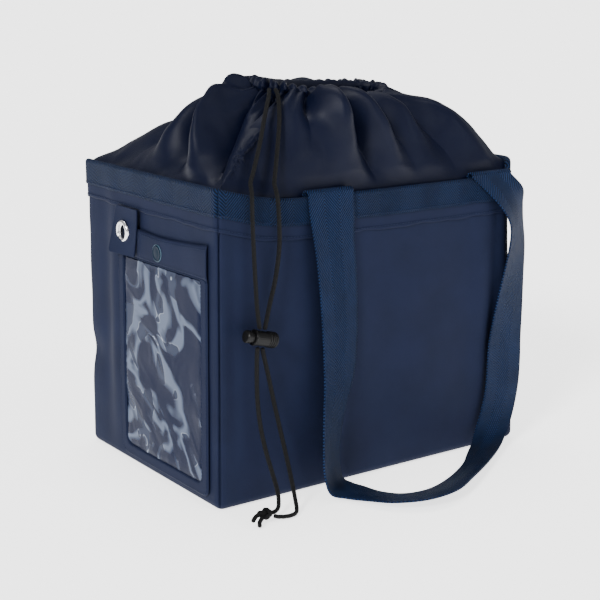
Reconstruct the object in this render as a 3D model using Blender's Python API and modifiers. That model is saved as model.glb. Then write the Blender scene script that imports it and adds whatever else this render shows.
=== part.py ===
"""Drawstring tote bag: a stiff-bottomed fabric box with two webbing handles and a gathered cover.

The origin is the centre of the underside, +Z is up, +X runs along the front from the pocket end
to the plain end, and the front faces -Y. All lengths are in metres.
"""

import math

import bmesh
import bpy
from mathutils import Matrix, Vector
from mathutils.geometry import interpolate_bezier

# Bag body
LENGTH = 0.358
WIDTH = 0.248
RIM_TOP = 0.290
PANEL = 0.002
GAP = 0.0003
CORNER_RADIUS = 0.020
CORNER_STEPS = 5
LONG_STEPS = 12
SHORT_STEPS = 6
RIM_SAG = 0.015
SAG_RUN_IN = 0.26
SAG_RUN_OUT = 0.056
BOARD = 0.003
BOARD_CLEARANCE = 0.001
BELOW_RIM = 0.0035

# Rim binding: webbing folded over the top edges, with a fabric band under its outer half
WEBBING = 0.0013
WEBBING_FOLD_RADIUS = 0.0025
WEBBING_FOLD_OFFSET = -0.00045
WEBBING_DROP = 0.0245
BAND = 0.0008
BAND_DROP = 0.0370

# Handles: one webbing strap each, front and rear alike
STRAP = 0.0015
STRAP_WIDTH = 0.050
STRAP_OFFSET = 0.00395
HINGE_Z = RIM_TOP - RIM_SAG + 0.0005
ANCHOR_FOLD_RADIUS = 0.0043
ANCHOR_FOLD_OFFSET = -0.00035
ANCHOR_STOP_ANGLE = math.radians(52)
LEFT_ROOT_X = -0.060
RIGHT_ROOT_X = 0.1335
ANCHOR_DROP = 0.045

# Gathered cover and its channel
COVER = 0.0012
COVER_INSET = 0.0064
COVER_FOOT_Z = 0.240
COVER_LEVELS = 7
COVER_DOMING = 0.45
COVER_BELOW_RIM = 0.004
MOUTH_CENTRE = Vector((0.0, -0.032))
MOUTH_LONG = 0.092
MOUTH_SHORT = 0.038
MOUTH_TURN = math.radians(20)
MOUTH_Z = 0.3545
HEM_HEIGHT = 0.018
HEM_WIDTH = 0.010
HEM_SKIN = 0.0008
HEM_STATIONS = 40
CORD_RADIUS = 0.002
EXIT_ANGLE = math.radians(188)
EXIT_GAP = math.radians(11)

# Pocket on the left end, measured along Y and Z
POCKET_REAR = 0.050
POCKET_FRONT = -0.110
POCKET_BOTTOM = 0.010
POCKET_TOP = 0.2085
FRAME_STRIP = 0.011
FRAME = 0.0010
WINDOW = 0.0004
WINDOW_STANDOFF = 0.0012
WINDOW_MARGIN = 0.004
HEADER = 0.0014
HEADER_STANDOFF = 0.0016
HEADER_TOP = 0.236
HEADER_REAR = 0.0065
SNAP_Y = -0.027
SNAP_Z = 0.2195
SNAP_RADIUS = 0.0075
SNAP_CAP = 0.0018
SNAP_CAP_EDGE = 0.0007
STUD_RADIUS = 0.0030
STUD_FRONT = 0.0012
SNAP_HOLE_RADIUS = 0.0024
SNAP_POST_RADIUS = 0.0018

# Eyelet tab, hinged at its top edge
TAB_Y = 0.0295
TAB_WIDTH = 0.041
TAB_TOP = 0.2525
TAB_LENGTH = 0.043
TAB = 0.0016
TAB_STANDOFF = 0.0056
TAB_HOLE_MARGIN = 0.0009
EYELET_Z = 0.2305
EYELET_OUTER = 0.0104
EYELET_INNER = 0.0072
EYELET_FRONT = 0.0012
EYELET_WASHER = 0.0006

# Cord lock, lying across the two cord strands in front of the bag
LOCK_CENTRE = Vector((-0.142, -0.138, 0.158))
LOCK_TILT = math.radians(15)
LOCK_RADIUS = 0.00675
LOCK_LEFT = -0.009
LOCK_RIGHT = 0.015
LOCK_BORE = 0.0052
STEM_RADIUS = 0.0048
BUTTON_LEFT = -0.017
BUTTON_TRAVEL = 0.0035
BUTTON_RIM = 0.0009
STEM_RIGHT = 0.0065
BARREL_EDGE = 0.0008
BARREL_MOUTH_EDGE = 0.0005
BARREL_END = 0.0020
SLOT_DEPTH = 0.03
SPRING_RADIUS = 0.0034
SPRING_WIRE = 0.0003
SPRING_TURNS = 4
SPRING_STEPS = 10
SLOT_LENGTH = 0.0100
SLOT_WIDTH = 0.0052

KNOT_CENTRE = Vector((-0.158, -0.164, 0.0075))
KNOT_RADIUS = 0.0066
KNOT_SHAPE = (1.05, 0.9, 0.98)

# Strap edges, from the left root down, along the floor and up to the right root. The first point of
# each pair is the edge that lies outermost on the floor, the second is the edge nearest the bag.
STRAP_EDGES = [
    ((-0.0850, -0.1300, 0.262), (-0.0350, -0.1290, 0.262)),
    ((-0.0840, -0.1370, 0.232), (-0.0350, -0.1295, 0.232)),
    ((-0.0815, -0.1400, 0.200), (-0.0325, -0.1298, 0.200)),
    ((-0.0790, -0.1426, 0.150), (-0.0310, -0.1298, 0.150)),
    ((-0.0805, -0.1474, 0.108), (-0.0340, -0.1298, 0.108)),
    ((-0.0860, -0.1540, 0.080), (-0.0425, -0.1298, 0.080)),
    ((-0.0890, -0.1580, 0.052), (-0.0490, -0.1298, 0.052)),
    ((-0.0890, -0.1595, 0.028), (-0.0505, -0.1298, 0.026)),
    ((-0.0840, -0.1620, 0.009), (-0.0475, -0.1310, 0.008)),
    ((-0.0720, -0.1690, 0.0045), (-0.0410, -0.1370, 0.0025)),
    ((-0.0620, -0.1880, 0.0060), (-0.0370, -0.1490, 0.0020)),
    ((-0.0480, -0.2110, 0.0085), (-0.0320, -0.1700, 0.0020)),
    ((-0.0220, -0.2270, 0.0110), (-0.0180, -0.1860, 0.0020)),
    ((0.0120, -0.2260, 0.0120), (0.0080, -0.1900, 0.0020)),
    ((0.0480, -0.2080, 0.0120), (0.0400, -0.1800, 0.0020)),
    ((0.0900, -0.1820, 0.0095), (0.0740, -0.1620, 0.0030)),
    ((0.1260, -0.1580, 0.0090), (0.0960, -0.1450, 0.0060)),
    ((0.1480, -0.1430, 0.0130), (0.1080, -0.1370, 0.0110)),
    ((0.1610, -0.1360, 0.0240), (0.1170, -0.1320, 0.0210)),
    ((0.1710, -0.1310, 0.0400), (0.1260, -0.1303, 0.0400)),
    ((0.1770, -0.1290, 0.0620), (0.1310, -0.1303, 0.0620)),
    ((0.1805, -0.1265, 0.0850), (0.1325, -0.1303, 0.0850)),
    ((0.1825, -0.1240, 0.1070), (0.1335, -0.1303, 0.1070)),
    ((0.1875, -0.1195, 0.1350), (0.1385, -0.1310, 0.1350)),
    ((0.1920, -0.1150, 0.1650), (0.1455, -0.1320, 0.1650)),
    ((0.1940, -0.1130, 0.2000), (0.1500, -0.1370, 0.2000)),
    ((0.1915, -0.1120, 0.2250), (0.1500, -0.1390, 0.2250)),
    ((0.1840, -0.1185, 0.2440), (0.1385, -0.1390, 0.2440)),
    ((0.1740, -0.1285, 0.2610), (0.1245, -0.1320, 0.2610)),
]

# Cord routes, as points that each strand passes through
STRAND_ROUTES = {
    "cord_upper_left": [
        (-0.0935, -0.0800, 0.3665), (-0.1000, -0.0890, 0.3610), (-0.1110, -0.0990, 0.3450),
        (-0.1230, -0.1090, 0.3230), (-0.1350, -0.1175, 0.3020), (-0.1420, -0.1230, 0.2925),
        (-0.1450, -0.1285, 0.2880), (-0.1465, -0.1320, 0.2800), (-0.1465, -0.1325, 0.2600),
        (-0.1455, -0.1325, 0.2350), (-0.1445, -0.1330, 0.2100), (-0.1440, -0.1345, 0.1870),
        (-0.1437, -0.1368, 0.1725), (-0.1433, -0.1380, 0.1662),
    ],
    "cord_upper_right": [
        (-0.0885, -0.0820, 0.3665), (-0.0910, -0.0905, 0.3600), (-0.0970, -0.1010, 0.3420),
        (-0.1050, -0.1100, 0.3200), (-0.1130, -0.1180, 0.2985), (-0.1175, -0.1230, 0.2895),
        (-0.1195, -0.1285, 0.2845), (-0.1200, -0.1320, 0.2760), (-0.1190, -0.1325, 0.2560),
        (-0.1190, -0.1325, 0.2350), (-0.1235, -0.1330, 0.2080), (-0.1310, -0.1345, 0.1850),
        (-0.1360, -0.1368, 0.1715), (-0.1385, -0.1380, 0.1650),
    ],
    "cord_lower_left": [
        (-0.1455, -0.1380, 0.1510), (-0.1462, -0.1375, 0.1440), (-0.1460, -0.1365, 0.1250),
        (-0.1450, -0.1360, 0.1000), (-0.1425, -0.1370, 0.0760), (-0.1385, -0.1390, 0.0540),
        (-0.1345, -0.1430, 0.0340), (-0.1330, -0.1490, 0.0180), (-0.1365, -0.1555, 0.0080),
        (-0.1430, -0.1605, 0.0060), (-0.1500, -0.1628, 0.0066),
    ],
    "cord_lower_right": [
        (-0.1408, -0.1380, 0.1498), (-0.1395, -0.1375, 0.1430), (-0.1340, -0.1365, 0.1230),
        (-0.1280, -0.1360, 0.0980), (-0.1230, -0.1375, 0.0740), (-0.1190, -0.1410, 0.0500),
        (-0.1175, -0.1470, 0.0290), (-0.1190, -0.1560, 0.0110), (-0.1240, -0.1655, 0.0032),
        (-0.1330, -0.1705, 0.0030), (-0.1430, -0.1695, 0.0036), (-0.1500, -0.1672, 0.0052),
    ],
}
TAIL_ROUTES = [
    [(-0.1600, -0.1640, 0.0080), (-0.1670, -0.1660, 0.0085), (-0.1735, -0.1700, 0.0060)],
    [(-0.1600, -0.1650, 0.0060), (-0.1660, -0.1700, 0.0045), (-0.1700, -0.1760, 0.0027)],
]

NAVY = (0.020, 0.032, 0.072)
COVER_NAVY = (0.013, 0.019, 0.045)
TEAL_NAVY = (0.012, 0.040, 0.085)


def clear_scene():
    for obj in list(bpy.data.objects):
        bpy.data.objects.remove(obj, do_unlink=True)


def new_collection(name):
    collection = bpy.data.collections.new(name)
    bpy.context.scene.collection.children.link(collection)
    return collection


def make_material(name, colour, roughness, metallic=0.0, alpha=1.0):
    material = bpy.data.materials.new(name)
    material.use_nodes = True
    shader = material.node_tree.nodes["Principled BSDF"]
    shader.inputs["Base Color"].default_value = (*colour, 1.0)
    shader.inputs["Roughness"].default_value = roughness
    shader.inputs["Metallic"].default_value = metallic
    shader.inputs["Alpha"].default_value = alpha
    return material


def finish_object(obj, material, home):
    obj.data.materials.clear()
    obj.data.materials.append(material)
    home.objects.link(obj)
    return obj


def object_from_bmesh(name, bm, material, home, smooth=False):
    bmesh.ops.recalc_face_normals(bm, faces=bm.faces)
    mesh = bpy.data.meshes.new(name)
    bm.to_mesh(mesh)
    bm.free()
    if smooth:
        mesh.shade_smooth()
    return finish_object(bpy.data.objects.new(name, mesh), material, home)


def box(name, low, high, material, home):
    """A rectangular block between two corners."""
    low, high = Vector(low), Vector(high)
    bm = bmesh.new()
    bmesh.ops.create_cube(bm, size=1.0)
    bmesh.ops.scale(bm, vec=high - low, verts=bm.verts)
    bmesh.ops.translate(bm, vec=(low + high) / 2, verts=bm.verts)
    return object_from_bmesh(name, bm, material, home)


def sheet(name, rows, thickness, material, home, closed=False):
    """A fabric sheet through rows of points, given its thickness half to each side."""
    bm = bmesh.new()
    grid = [[bm.verts.new(point) for point in row] for row in rows]
    if closed:
        grid.append(grid[0])
    for above, below in zip(grid, grid[1:]):
        for a, b, c, d in zip(above, above[1:], below[1:], below):
            bm.faces.new((a, b, c, d))
    obj = object_from_bmesh(name, bm, material, home, smooth=True)
    solid = obj.modifiers.new("thickness", "SOLIDIFY")
    solid.thickness = thickness
    solid.offset = 0.0
    solid.use_even_offset = True
    return obj


def tube(name, points, radius, material, home, sides=2):
    """A round cord through its points."""
    curve = bpy.data.curves.new(name, "CURVE")
    curve.dimensions = "3D"
    curve.bevel_depth = radius
    curve.bevel_resolution = sides
    curve.use_fill_caps = True
    line = curve.splines.new("POLY")
    line.points.add(len(points) - 1)
    for knot, point in zip(line.points, points):
        knot.co = (*point, 1.0)
    return finish_object(bpy.data.objects.new(name, curve), material, home)


def as_mesh(obj, home):
    """Replaces a curve object with a welded mesh of the same shape, so that a Boolean can use it."""
    bpy.context.view_layer.update()
    evaluated = obj.evaluated_get(bpy.context.evaluated_depsgraph_get())
    mesh = bpy.data.meshes.new_from_object(evaluated)
    bm = bmesh.new()
    bm.from_mesh(mesh)
    bmesh.ops.remove_doubles(bm, verts=bm.verts, dist=1e-6)
    bmesh.ops.recalc_face_normals(bm, faces=bm.faces)
    bm.to_mesh(mesh)
    bm.free()
    solid = bpy.data.objects.new(obj.name + "_solid", mesh)
    solid.matrix_world = obj.matrix_world
    home.objects.link(solid)
    bpy.data.objects.remove(obj, do_unlink=True)
    return solid


def use_as_cutter(obj):
    obj.hide_render = True
    obj.display_type = "WIRE"


def boolean(obj, other, operation):
    step = obj.modifiers.new(operation.lower(), "BOOLEAN")
    step.operation = operation
    step.object = other
    use_as_cutter(other)


def smooth_through(points, per_span):
    """Points along a smooth curve that passes through the given ones."""
    knots = [Vector(point) for point in points]
    slopes = []
    for i, knot in enumerate(knots):
        before = knots[max(i - 1, 0)]
        after = knots[min(i + 1, len(knots) - 1)]
        slopes.append((after - before) / 6)
    line = []
    for i in range(len(knots) - 1):
        span = interpolate_bezier(
            knots[i], knots[i] + slopes[i], knots[i + 1] - slopes[i + 1], knots[i + 1], per_span + 1
        )
        line += span[:-1]
    return line + [knots[-1]]


def ease(t):
    t = min(max(t, 0.0), 1.0)
    return t * t * (3 - 2 * t)


def rim_sag(x):
    """How far the front and rear edges hang below the rim's corners."""
    along = min(max((x + LENGTH / 2) / LENGTH, 0.0), 1.0)
    hang = math.sin(math.pi / 2 * min(1.0, along / SAG_RUN_IN))
    return RIM_SAG * hang * ease((1 - along) / SAG_RUN_OUT)


def outline(offset, long_steps=1, short_steps=1):
    """Corner-rounded plan of the body, moved outward by offset, as (x, y) points going round once."""
    radius = CORNER_RADIUS + offset
    centre_x = LENGTH / 2 - CORNER_RADIUS
    centre_y = WIDTH / 2 - CORNER_RADIUS
    points = []
    for quarter, (sx, sy) in enumerate(((1, 1), (-1, 1), (-1, -1), (1, -1))):
        start = quarter * math.pi / 2
        for i in range(CORNER_STEPS + 1):
            angle = start + math.pi / 2 * i / CORNER_STEPS
            x = sx * centre_x + radius * math.cos(angle)
            y = sy * centre_y + radius * math.sin(angle)
            points.append(Vector((x, y)))
        runs_along_x = quarter in (0, 2)
        steps = long_steps if runs_along_x else short_steps
        here = points[-1]
        step = 2 * centre_x if runs_along_x else 2 * centre_y
        heading = Vector((-sx, 0)) if runs_along_x else Vector((0, -sy))
        for i in range(1, steps):
            points.append(here + heading * step * i / steps)
    return points


def top_height(point):
    """Height of the rim above a plan point: only the long sides sag."""
    straight = WIDTH / 2 - CORNER_RADIUS
    share = ease((abs(point.y) - straight) / CORNER_RADIUS)
    return RIM_TOP - share * rim_sag(point.x)


def make_base(fabric, board, home):
    """The stitched bottom panel and the loose stiffener board that lies on it."""
    for name, inset, low, high, material in (
        ("bottom_panel", 0.0, 0.0, PANEL, fabric),
        ("base_board", PANEL + BOARD_CLEARANCE, PANEL + GAP, PANEL + GAP + BOARD, board),
    ):
        bm = bmesh.new()
        rim = [bm.verts.new((p.x, p.y, low)) for p in outline(-inset)]
        floor = bm.faces.new(rim)
        lifted = bmesh.ops.extrude_face_region(bm, geom=[floor])
        verts = [item for item in lifted["geom"] if isinstance(item, bmesh.types.BMVert)]
        bmesh.ops.translate(bm, vec=(0, 0, high - low), verts=verts)
        object_from_bmesh(name, bm, material, home)


def wall_rows(points, low, drop_from_rim):
    """Rows from the lower edge to the sagging upper edge, one for each plan point."""
    return [
        [(p.x, p.y, low), (p.x, p.y, top_height(p) - drop_from_rim)]
        for p in points
    ]


def make_panels(fabric, home):
    """Four flat walls and the four rounded corner pieces that join them."""
    low = PANEL + GAP
    ring = outline(-PANEL / 2, LONG_STEPS, SHORT_STEPS)
    corner = CORNER_STEPS + 1
    long_side = LONG_STEPS - 1
    short_side = SHORT_STEPS - 1
    position = 0
    quarters = (
        ("corner_seam_rear_right", "rear_panel", long_side),
        ("corner_seam_rear_left", "left_side_panel", short_side),
        ("corner_seam_front_left", "front_panel", long_side),
        ("corner_seam_front_right", "right_side_panel", short_side),
    )
    for corner_name, wall_name, middle in quarters:
        arc = ring[position : position + corner]
        wall = [(ring + ring)[i] for i in range(position + corner - 1, position + corner + middle + 1)]
        along = (wall[-1] - wall[0]).normalized()
        wall[0] = wall[0] + along * GAP / 2
        wall[-1] = wall[-1] - along * GAP / 2
        arc[-1] = arc[-1] - along * GAP / 2
        turned = Vector((along.y, -along.x))
        arc[0] = arc[0] + turned * GAP / 2
        sheet(corner_name, wall_rows(arc, low, BELOW_RIM), PANEL, fabric, home)
        sheet(wall_name, wall_rows(wall, low, BELOW_RIM), PANEL, fabric, home)
        position += corner + middle


def eased_ends(rows):
    """Moves the first and last rows of a sheet in by a gap, so that its neighbours stay clear."""
    for end, beside in ((0, 1), (-1, -2)):
        moved = []
        for point, inward in zip(rows[end], rows[beside]):
            step = (Vector(inward) - Vector(point)).normalized() * GAP
            moved.append(Vector(point) + step)
        rows[end] = moved
    return rows


def cut_round(rows, runs):
    """Cuts a closed run of rows into open lengths, from the middle of the rear right corner on."""
    first = CORNER_STEPS // 2 + 1
    for name, run in runs:
        yield name, eased_ends([rows[i % len(rows)] for i in range(first, first + run + 1)])
        first += run


def make_rim(webbing, fabric, home):
    """Webbing folded over the top edges, and the fabric band below its outer half."""
    band_mid = GAP + BAND / 2
    ring = outline(band_mid, LONG_STEPS, SHORT_STEPS)
    rows = [
        [
            (p.x, p.y, top_height(p) - BAND_DROP),
            (p.x, p.y, top_height(p) - BELOW_RIM),
        ]
        for p in ring
    ]
    sheet("rim_band", rows, BAND, fabric, home, closed=True)

    profile = [(WEBBING_FOLD_RADIUS, -WEBBING_DROP)]
    for i in range(5):
        angle = math.pi * i / 4
        rise = WEBBING_FOLD_RADIUS * (math.sin(angle) - 1) - WEBBING / 2
        profile.append((WEBBING_FOLD_RADIUS * math.cos(angle), rise))
    profile.append((-WEBBING_FOLD_RADIUS, -WEBBING_DROP))
    rings = [outline(WEBBING_FOLD_OFFSET + out, LONG_STEPS, SHORT_STEPS) for out, _ in profile]
    middle = outline(0.0, LONG_STEPS, SHORT_STEPS)
    rows = []
    for i, plan in enumerate(middle):
        top = top_height(plan)
        rows.append([(ring[i].x, ring[i].y, top + rise) for ring, (_, rise) in zip(rings, profile)])
    long_run = CORNER_STEPS + LONG_STEPS
    short_run = CORNER_STEPS + SHORT_STEPS
    runs = (
        ("rim_webbing_rear", long_run),
        ("rim_webbing_left", short_run),
        ("rim_webbing_front", long_run),
        ("rim_webbing_right", short_run),
    )
    for name, length in cut_round(rows, runs):
        sheet(name, length, WEBBING, webbing, home)


def make_handle_anchors(webbing, home):
    """The sewn strap ends inside the rim, each brought over the top to where its strap hangs."""
    for side_name, side in (("front", -1), ("rear", 1)):
        for end_name, x in (("left", LEFT_ROOT_X), ("right", RIGHT_ROOT_X)):
            top = RIM_TOP - rim_sag(x) + WEBBING_FOLD_OFFSET
            fold_z = top - WEBBING_FOLD_RADIUS - WEBBING / 2 - WEBBING_FOLD_OFFSET
            profile = [(ANCHOR_FOLD_OFFSET - ANCHOR_FOLD_RADIUS, fold_z - ANCHOR_DROP)]
            for i in range(6):
                angle = math.pi - (math.pi - ANCHOR_STOP_ANGLE) * i / 5
                out = ANCHOR_FOLD_OFFSET + ANCHOR_FOLD_RADIUS * math.cos(angle)
                profile.append((out, fold_z + ANCHOR_FOLD_RADIUS * math.sin(angle)))
            rows = [
                [(edge, side * (WIDTH / 2 + out), z) for out, z in profile]
                for edge in (x - STRAP_WIDTH / 2, x + STRAP_WIDTH / 2)
            ]
            sheet(f"handle_anchor_{side_name}_{end_name}", rows, STRAP, webbing, home)


def make_handles(webbing, home):
    """Each handle is one strap whose two legs twist down to a loop on the floor."""
    root_y = -(WIDTH / 2 + STRAP_OFFSET)
    half = STRAP_WIDTH / 2
    first = (
        Vector((LEFT_ROOT_X - half, root_y, HINGE_Z)),
        Vector((LEFT_ROOT_X + half, root_y, HINGE_Z)),
    )
    last = (
        Vector((RIGHT_ROOT_X + half, root_y, HINGE_Z)),
        Vector((RIGHT_ROOT_X - half, root_y, HINGE_Z)),
    )
    pairs = [first, *STRAP_EDGES, last]
    edges = [smooth_through([pair[i] for pair in pairs], 2) for i in (0, 1)]
    for name, mirror in (("front_handle", 1), ("rear_handle", -1)):
        flip = Vector((1, mirror, 1))
        rows = [[a * flip, a.lerp(b, 0.5) * flip, b * flip] for a, b in zip(*edges)]
        sheet(name, rows, STRAP, webbing, home)


def mouth_point(angle):
    """A point of the gathered mouth, in plan."""
    x = MOUTH_LONG * math.cos(angle)
    y = MOUTH_SHORT * math.sin(angle)
    turned = Matrix.Rotation(MOUTH_TURN, 2) @ Vector((x, y))
    return MOUTH_CENTRE + turned


def make_cover(thin_fabric, home):
    """The cover rises from inside the rim to the gathered mouth, in six sewn panels."""
    foot = outline(-COVER_INSET, LONG_STEPS, SHORT_STEPS)
    rows = []
    for p in foot:
        angle = math.atan2(p.y * LENGTH / WIDTH, p.x) - MOUTH_TURN
        goal = mouth_point(angle)
        column = [(p.x, p.y, COVER_FOOT_Z)]
        start_z = top_height(p) - COVER_BELOW_RIM
        for i in range(COVER_LEVELS + 1):
            share = i / COVER_LEVELS
            plan = p.lerp(goal, share)
            rise = math.sin(math.pi / 2 * share) * COVER_DOMING + share * (1 - COVER_DOMING)
            column.append((plan.x, plan.y, start_z + (MOUTH_Z - start_z) * rise))
        rows.append(column)
    long_run = CORNER_STEPS + LONG_STEPS
    short_run = CORNER_STEPS + SHORT_STEPS
    half_run = long_run // 2
    runs = (
        ("cover_rear_right", half_run),
        ("cover_rear_left", long_run - half_run),
        ("cover_left", short_run),
        ("cover_front_left", long_run - half_run),
        ("cover_front_right", half_run),
        ("cover_right", short_run),
    )
    for name, panel in cut_round(rows, runs):
        sheet(name, panel, COVER, thin_fabric, home)


def make_channel(thin_fabric, cord_material, home):
    """The hem round the mouth, a front and a rear length of channel, and the drawcord in it."""
    hem_z = MOUTH_Z + 0.0015 + HEM_HEIGHT / 2
    start = EXIT_ANGLE + EXIT_GAP / 2
    sweep = 2 * math.pi - EXIT_GAP
    rows = []
    line = []
    for i in range(HEM_STATIONS + 1):
        angle = start + sweep * i / HEM_STATIONS
        centre = mouth_point(angle)
        ahead = mouth_point(angle + 0.01) - centre
        out = Vector((ahead.y, -ahead.x)).normalized()
        section = []
        for k in range(9):
            turn = 2 * math.pi * k / 8
            plan = centre + out * (HEM_WIDTH / 2 - HEM_SKIN / 2) * math.cos(turn)
            z = hem_z + (HEM_HEIGHT / 2 - HEM_SKIN / 2) * math.sin(turn)
            section.append((plan.x, plan.y, z))
        rows.append(section)
        line.append((centre.x, centre.y, hem_z))
    middle = HEM_STATIONS // 2
    for name, part in (("channel_hem_front", rows[: middle + 1]), ("channel_hem_rear", rows[middle:])):
        hem = sheet(name, eased_ends(part), HEM_SKIN, thin_fabric, home)
        weld = hem.modifiers.new("seam", "WELD")
        weld.merge_threshold = 0.00001
        hem.modifiers.move(1, 0)
    tube("channel_cord", line, CORD_RADIUS, cord_material, home)


def make_strands(cord_material, home, cutters):
    """The four free stretches of cord, and the knot that ties their ends with two short tails."""
    for name, route in STRAND_ROUTES.items():
        tube(name, smooth_through(route, 3), CORD_RADIUS, cord_material, home)
    bm = bmesh.new()
    bmesh.ops.create_uvsphere(bm, u_segments=16, v_segments=10, radius=KNOT_RADIUS)
    bmesh.ops.scale(bm, vec=KNOT_SHAPE, verts=bm.verts)
    bmesh.ops.translate(bm, vec=KNOT_CENTRE, verts=bm.verts)
    knot = object_from_bmesh("cord_knot", bm, cord_material, home, smooth=True)
    for number, route in enumerate(TAIL_ROUTES):
        tail = tube(f"tail_{number}", smooth_through(route, 2), CORD_RADIUS, cord_material, cutters)
        boolean(knot, as_mesh(tail, cutters), "UNION")


def make_pocket(fabric, plastic, home):
    """Window pocket on the left end: frame, clear window, and the header that snaps to the bag."""
    wall = -LENGTH / 2
    window_out = wall - WINDOW_STANDOFF
    box(
        "clear_window",
        (window_out - WINDOW, POCKET_FRONT + WINDOW_MARGIN, POCKET_BOTTOM + WINDOW_MARGIN),
        (window_out, POCKET_REAR - WINDOW_MARGIN, POCKET_TOP - WINDOW_MARGIN),
        plastic,
        home,
    )
    outer = window_out - WINDOW - GAP
    frame_points = [
        (POCKET_FRONT, POCKET_TOP),
        (POCKET_FRONT, POCKET_BOTTOM),
        (POCKET_REAR, POCKET_BOTTOM),
        (POCKET_REAR, HEADER_TOP),
        (HEADER_REAR + GAP, HEADER_TOP),
        (HEADER_REAR + GAP, POCKET_TOP),
        (POCKET_REAR - FRAME_STRIP, POCKET_TOP),
        (POCKET_REAR - FRAME_STRIP, POCKET_BOTTOM + FRAME_STRIP),
        (POCKET_FRONT + FRAME_STRIP, POCKET_BOTTOM + FRAME_STRIP),
        (POCKET_FRONT + FRAME_STRIP, POCKET_TOP),
    ]
    bm = bmesh.new()
    face = bm.faces.new([bm.verts.new((outer, y, z)) for y, z in frame_points])
    lifted = bmesh.ops.extrude_face_region(bm, geom=[face])
    verts = [item for item in lifted["geom"] if isinstance(item, bmesh.types.BMVert)]
    bmesh.ops.translate(bm, vec=(-FRAME, 0, 0), verts=verts)
    object_from_bmesh("pocket_frame", bm, fabric, home)

    header_out = wall - HEADER_STANDOFF
    header = box(
        "pocket_header",
        (header_out - HEADER, POCKET_FRONT, POCKET_TOP + GAP),
        (header_out, HEADER_REAR, HEADER_TOP),
        fabric,
        home,
    )
    return header, header_out


def disc(name, x_low, x_high, y, z, radius, material, home, segments=24):
    """A short cylinder with its axis along X."""
    bm = bmesh.new()
    place = Matrix.Translation(((x_low + x_high) / 2, y, z)) @ Matrix.Rotation(math.pi / 2, 4, "Y")
    bmesh.ops.create_cone(
        bm,
        cap_ends=True,
        segments=segments,
        radius1=radius,
        radius2=radius,
        depth=x_high - x_low,
        matrix=place,
    )
    return object_from_bmesh(name, bm, material, home)


def make_snap(header, header_out, metal, home, cutters):
    """Snap fastener: the stud on the wall, the socket behind the header and the cap in front of it."""
    wall = -LENGTH / 2
    disc("snap_stud", wall - STUD_FRONT, wall - GAP, SNAP_Y, SNAP_Z, STUD_RADIUS, metal, home)
    hole = disc(
        "header_hole",
        header_out - 2 * HEADER,
        header_out + HEADER,
        SNAP_Y,
        SNAP_Z,
        SNAP_HOLE_RADIUS,
        metal,
        cutters,
    )
    boolean(header, hole, "DIFFERENCE")
    front = header_out - HEADER - GAP
    cap = disc("snap_cap", front - SNAP_CAP, front, SNAP_Y, SNAP_Z, SNAP_RADIUS, metal, home)
    bevel = cap.modifiers.new("edge", "BEVEL")
    bevel.width = SNAP_CAP_EDGE
    bevel.segments = 2
    bevel.limit_method = "ANGLE"
    post = disc(
        "post", front - SNAP_CAP / 2, header_out + GAP / 3, SNAP_Y, SNAP_Z, SNAP_POST_RADIUS, metal, cutters
    )
    boolean(cap, post, "UNION")


def washer(name, x_low, x_high, outer, inner, material, home):
    """A flat ring with its axis along X, turned from a rectangular profile."""
    mesh = bpy.data.meshes.new(name)
    depth = x_high - x_low
    profile = [(outer, 0, depth), (outer, 0, 0), (inner, 0, 0), (inner, 0, depth)]
    mesh.from_pydata(profile, [(0, 1), (1, 2), (2, 3), (3, 0)], [])
    obj = bpy.data.objects.new(name, mesh)
    finish_object(obj, material, home)
    turn = obj.modifiers.new("turn", "SCREW")
    turn.steps = 32
    turn.render_steps = 32
    turn.use_merge_vertices = True
    turn.merge_threshold = 0.00001
    obj.rotation_euler = (0, math.pi / 2, 0)
    obj.location = (x_low, TAB_Y, EYELET_Z)
    return obj


def make_tab(fabric, metal, home, cutters):
    """The eyelet tab that hangs from the band, with its two-part metal eyelet."""
    wall = -LENGTH / 2
    inner_face = wall - TAB_STANDOFF
    tab = box(
        "eyelet_tab",
        (inner_face - TAB, TAB_Y - TAB_WIDTH / 2, TAB_TOP - TAB_LENGTH),
        (inner_face, TAB_Y + TAB_WIDTH / 2, TAB_TOP),
        fabric,
        home,
    )
    hole = disc(
        "tab_hole",
        inner_face - 2 * TAB,
        inner_face + TAB,
        TAB_Y,
        EYELET_Z,
        EYELET_INNER + TAB_HOLE_MARGIN,
        metal,
        cutters,
        segments=32,
    )
    boolean(tab, hole, "DIFFERENCE")
    front = inner_face - TAB - GAP
    washer("eyelet_front", front - EYELET_FRONT, front, EYELET_OUTER, EYELET_INNER, metal, home)
    back = inner_face + GAP
    washer("eyelet_washer", back, back + EYELET_WASHER, EYELET_OUTER - 0.001, EYELET_INNER, metal, home)


def turned_along_x(name, profile, material, home, segments=28):
    """A turned solid with its axis along X, from (x, radius) points that start and end on the axis."""
    mesh = bpy.data.meshes.new(name)
    points = [(radius, 0, x) for x, radius in profile]
    mesh.from_pydata(points, [(i, i + 1) for i in range(len(points) - 1)], [])
    obj = bpy.data.objects.new(name, mesh)
    finish_object(obj, material, home)
    turn = obj.modifiers.new("turn", "SCREW")
    turn.steps = segments
    turn.render_steps = segments
    turn.use_merge_vertices = True
    turn.merge_threshold = 0.00001
    return obj


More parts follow.
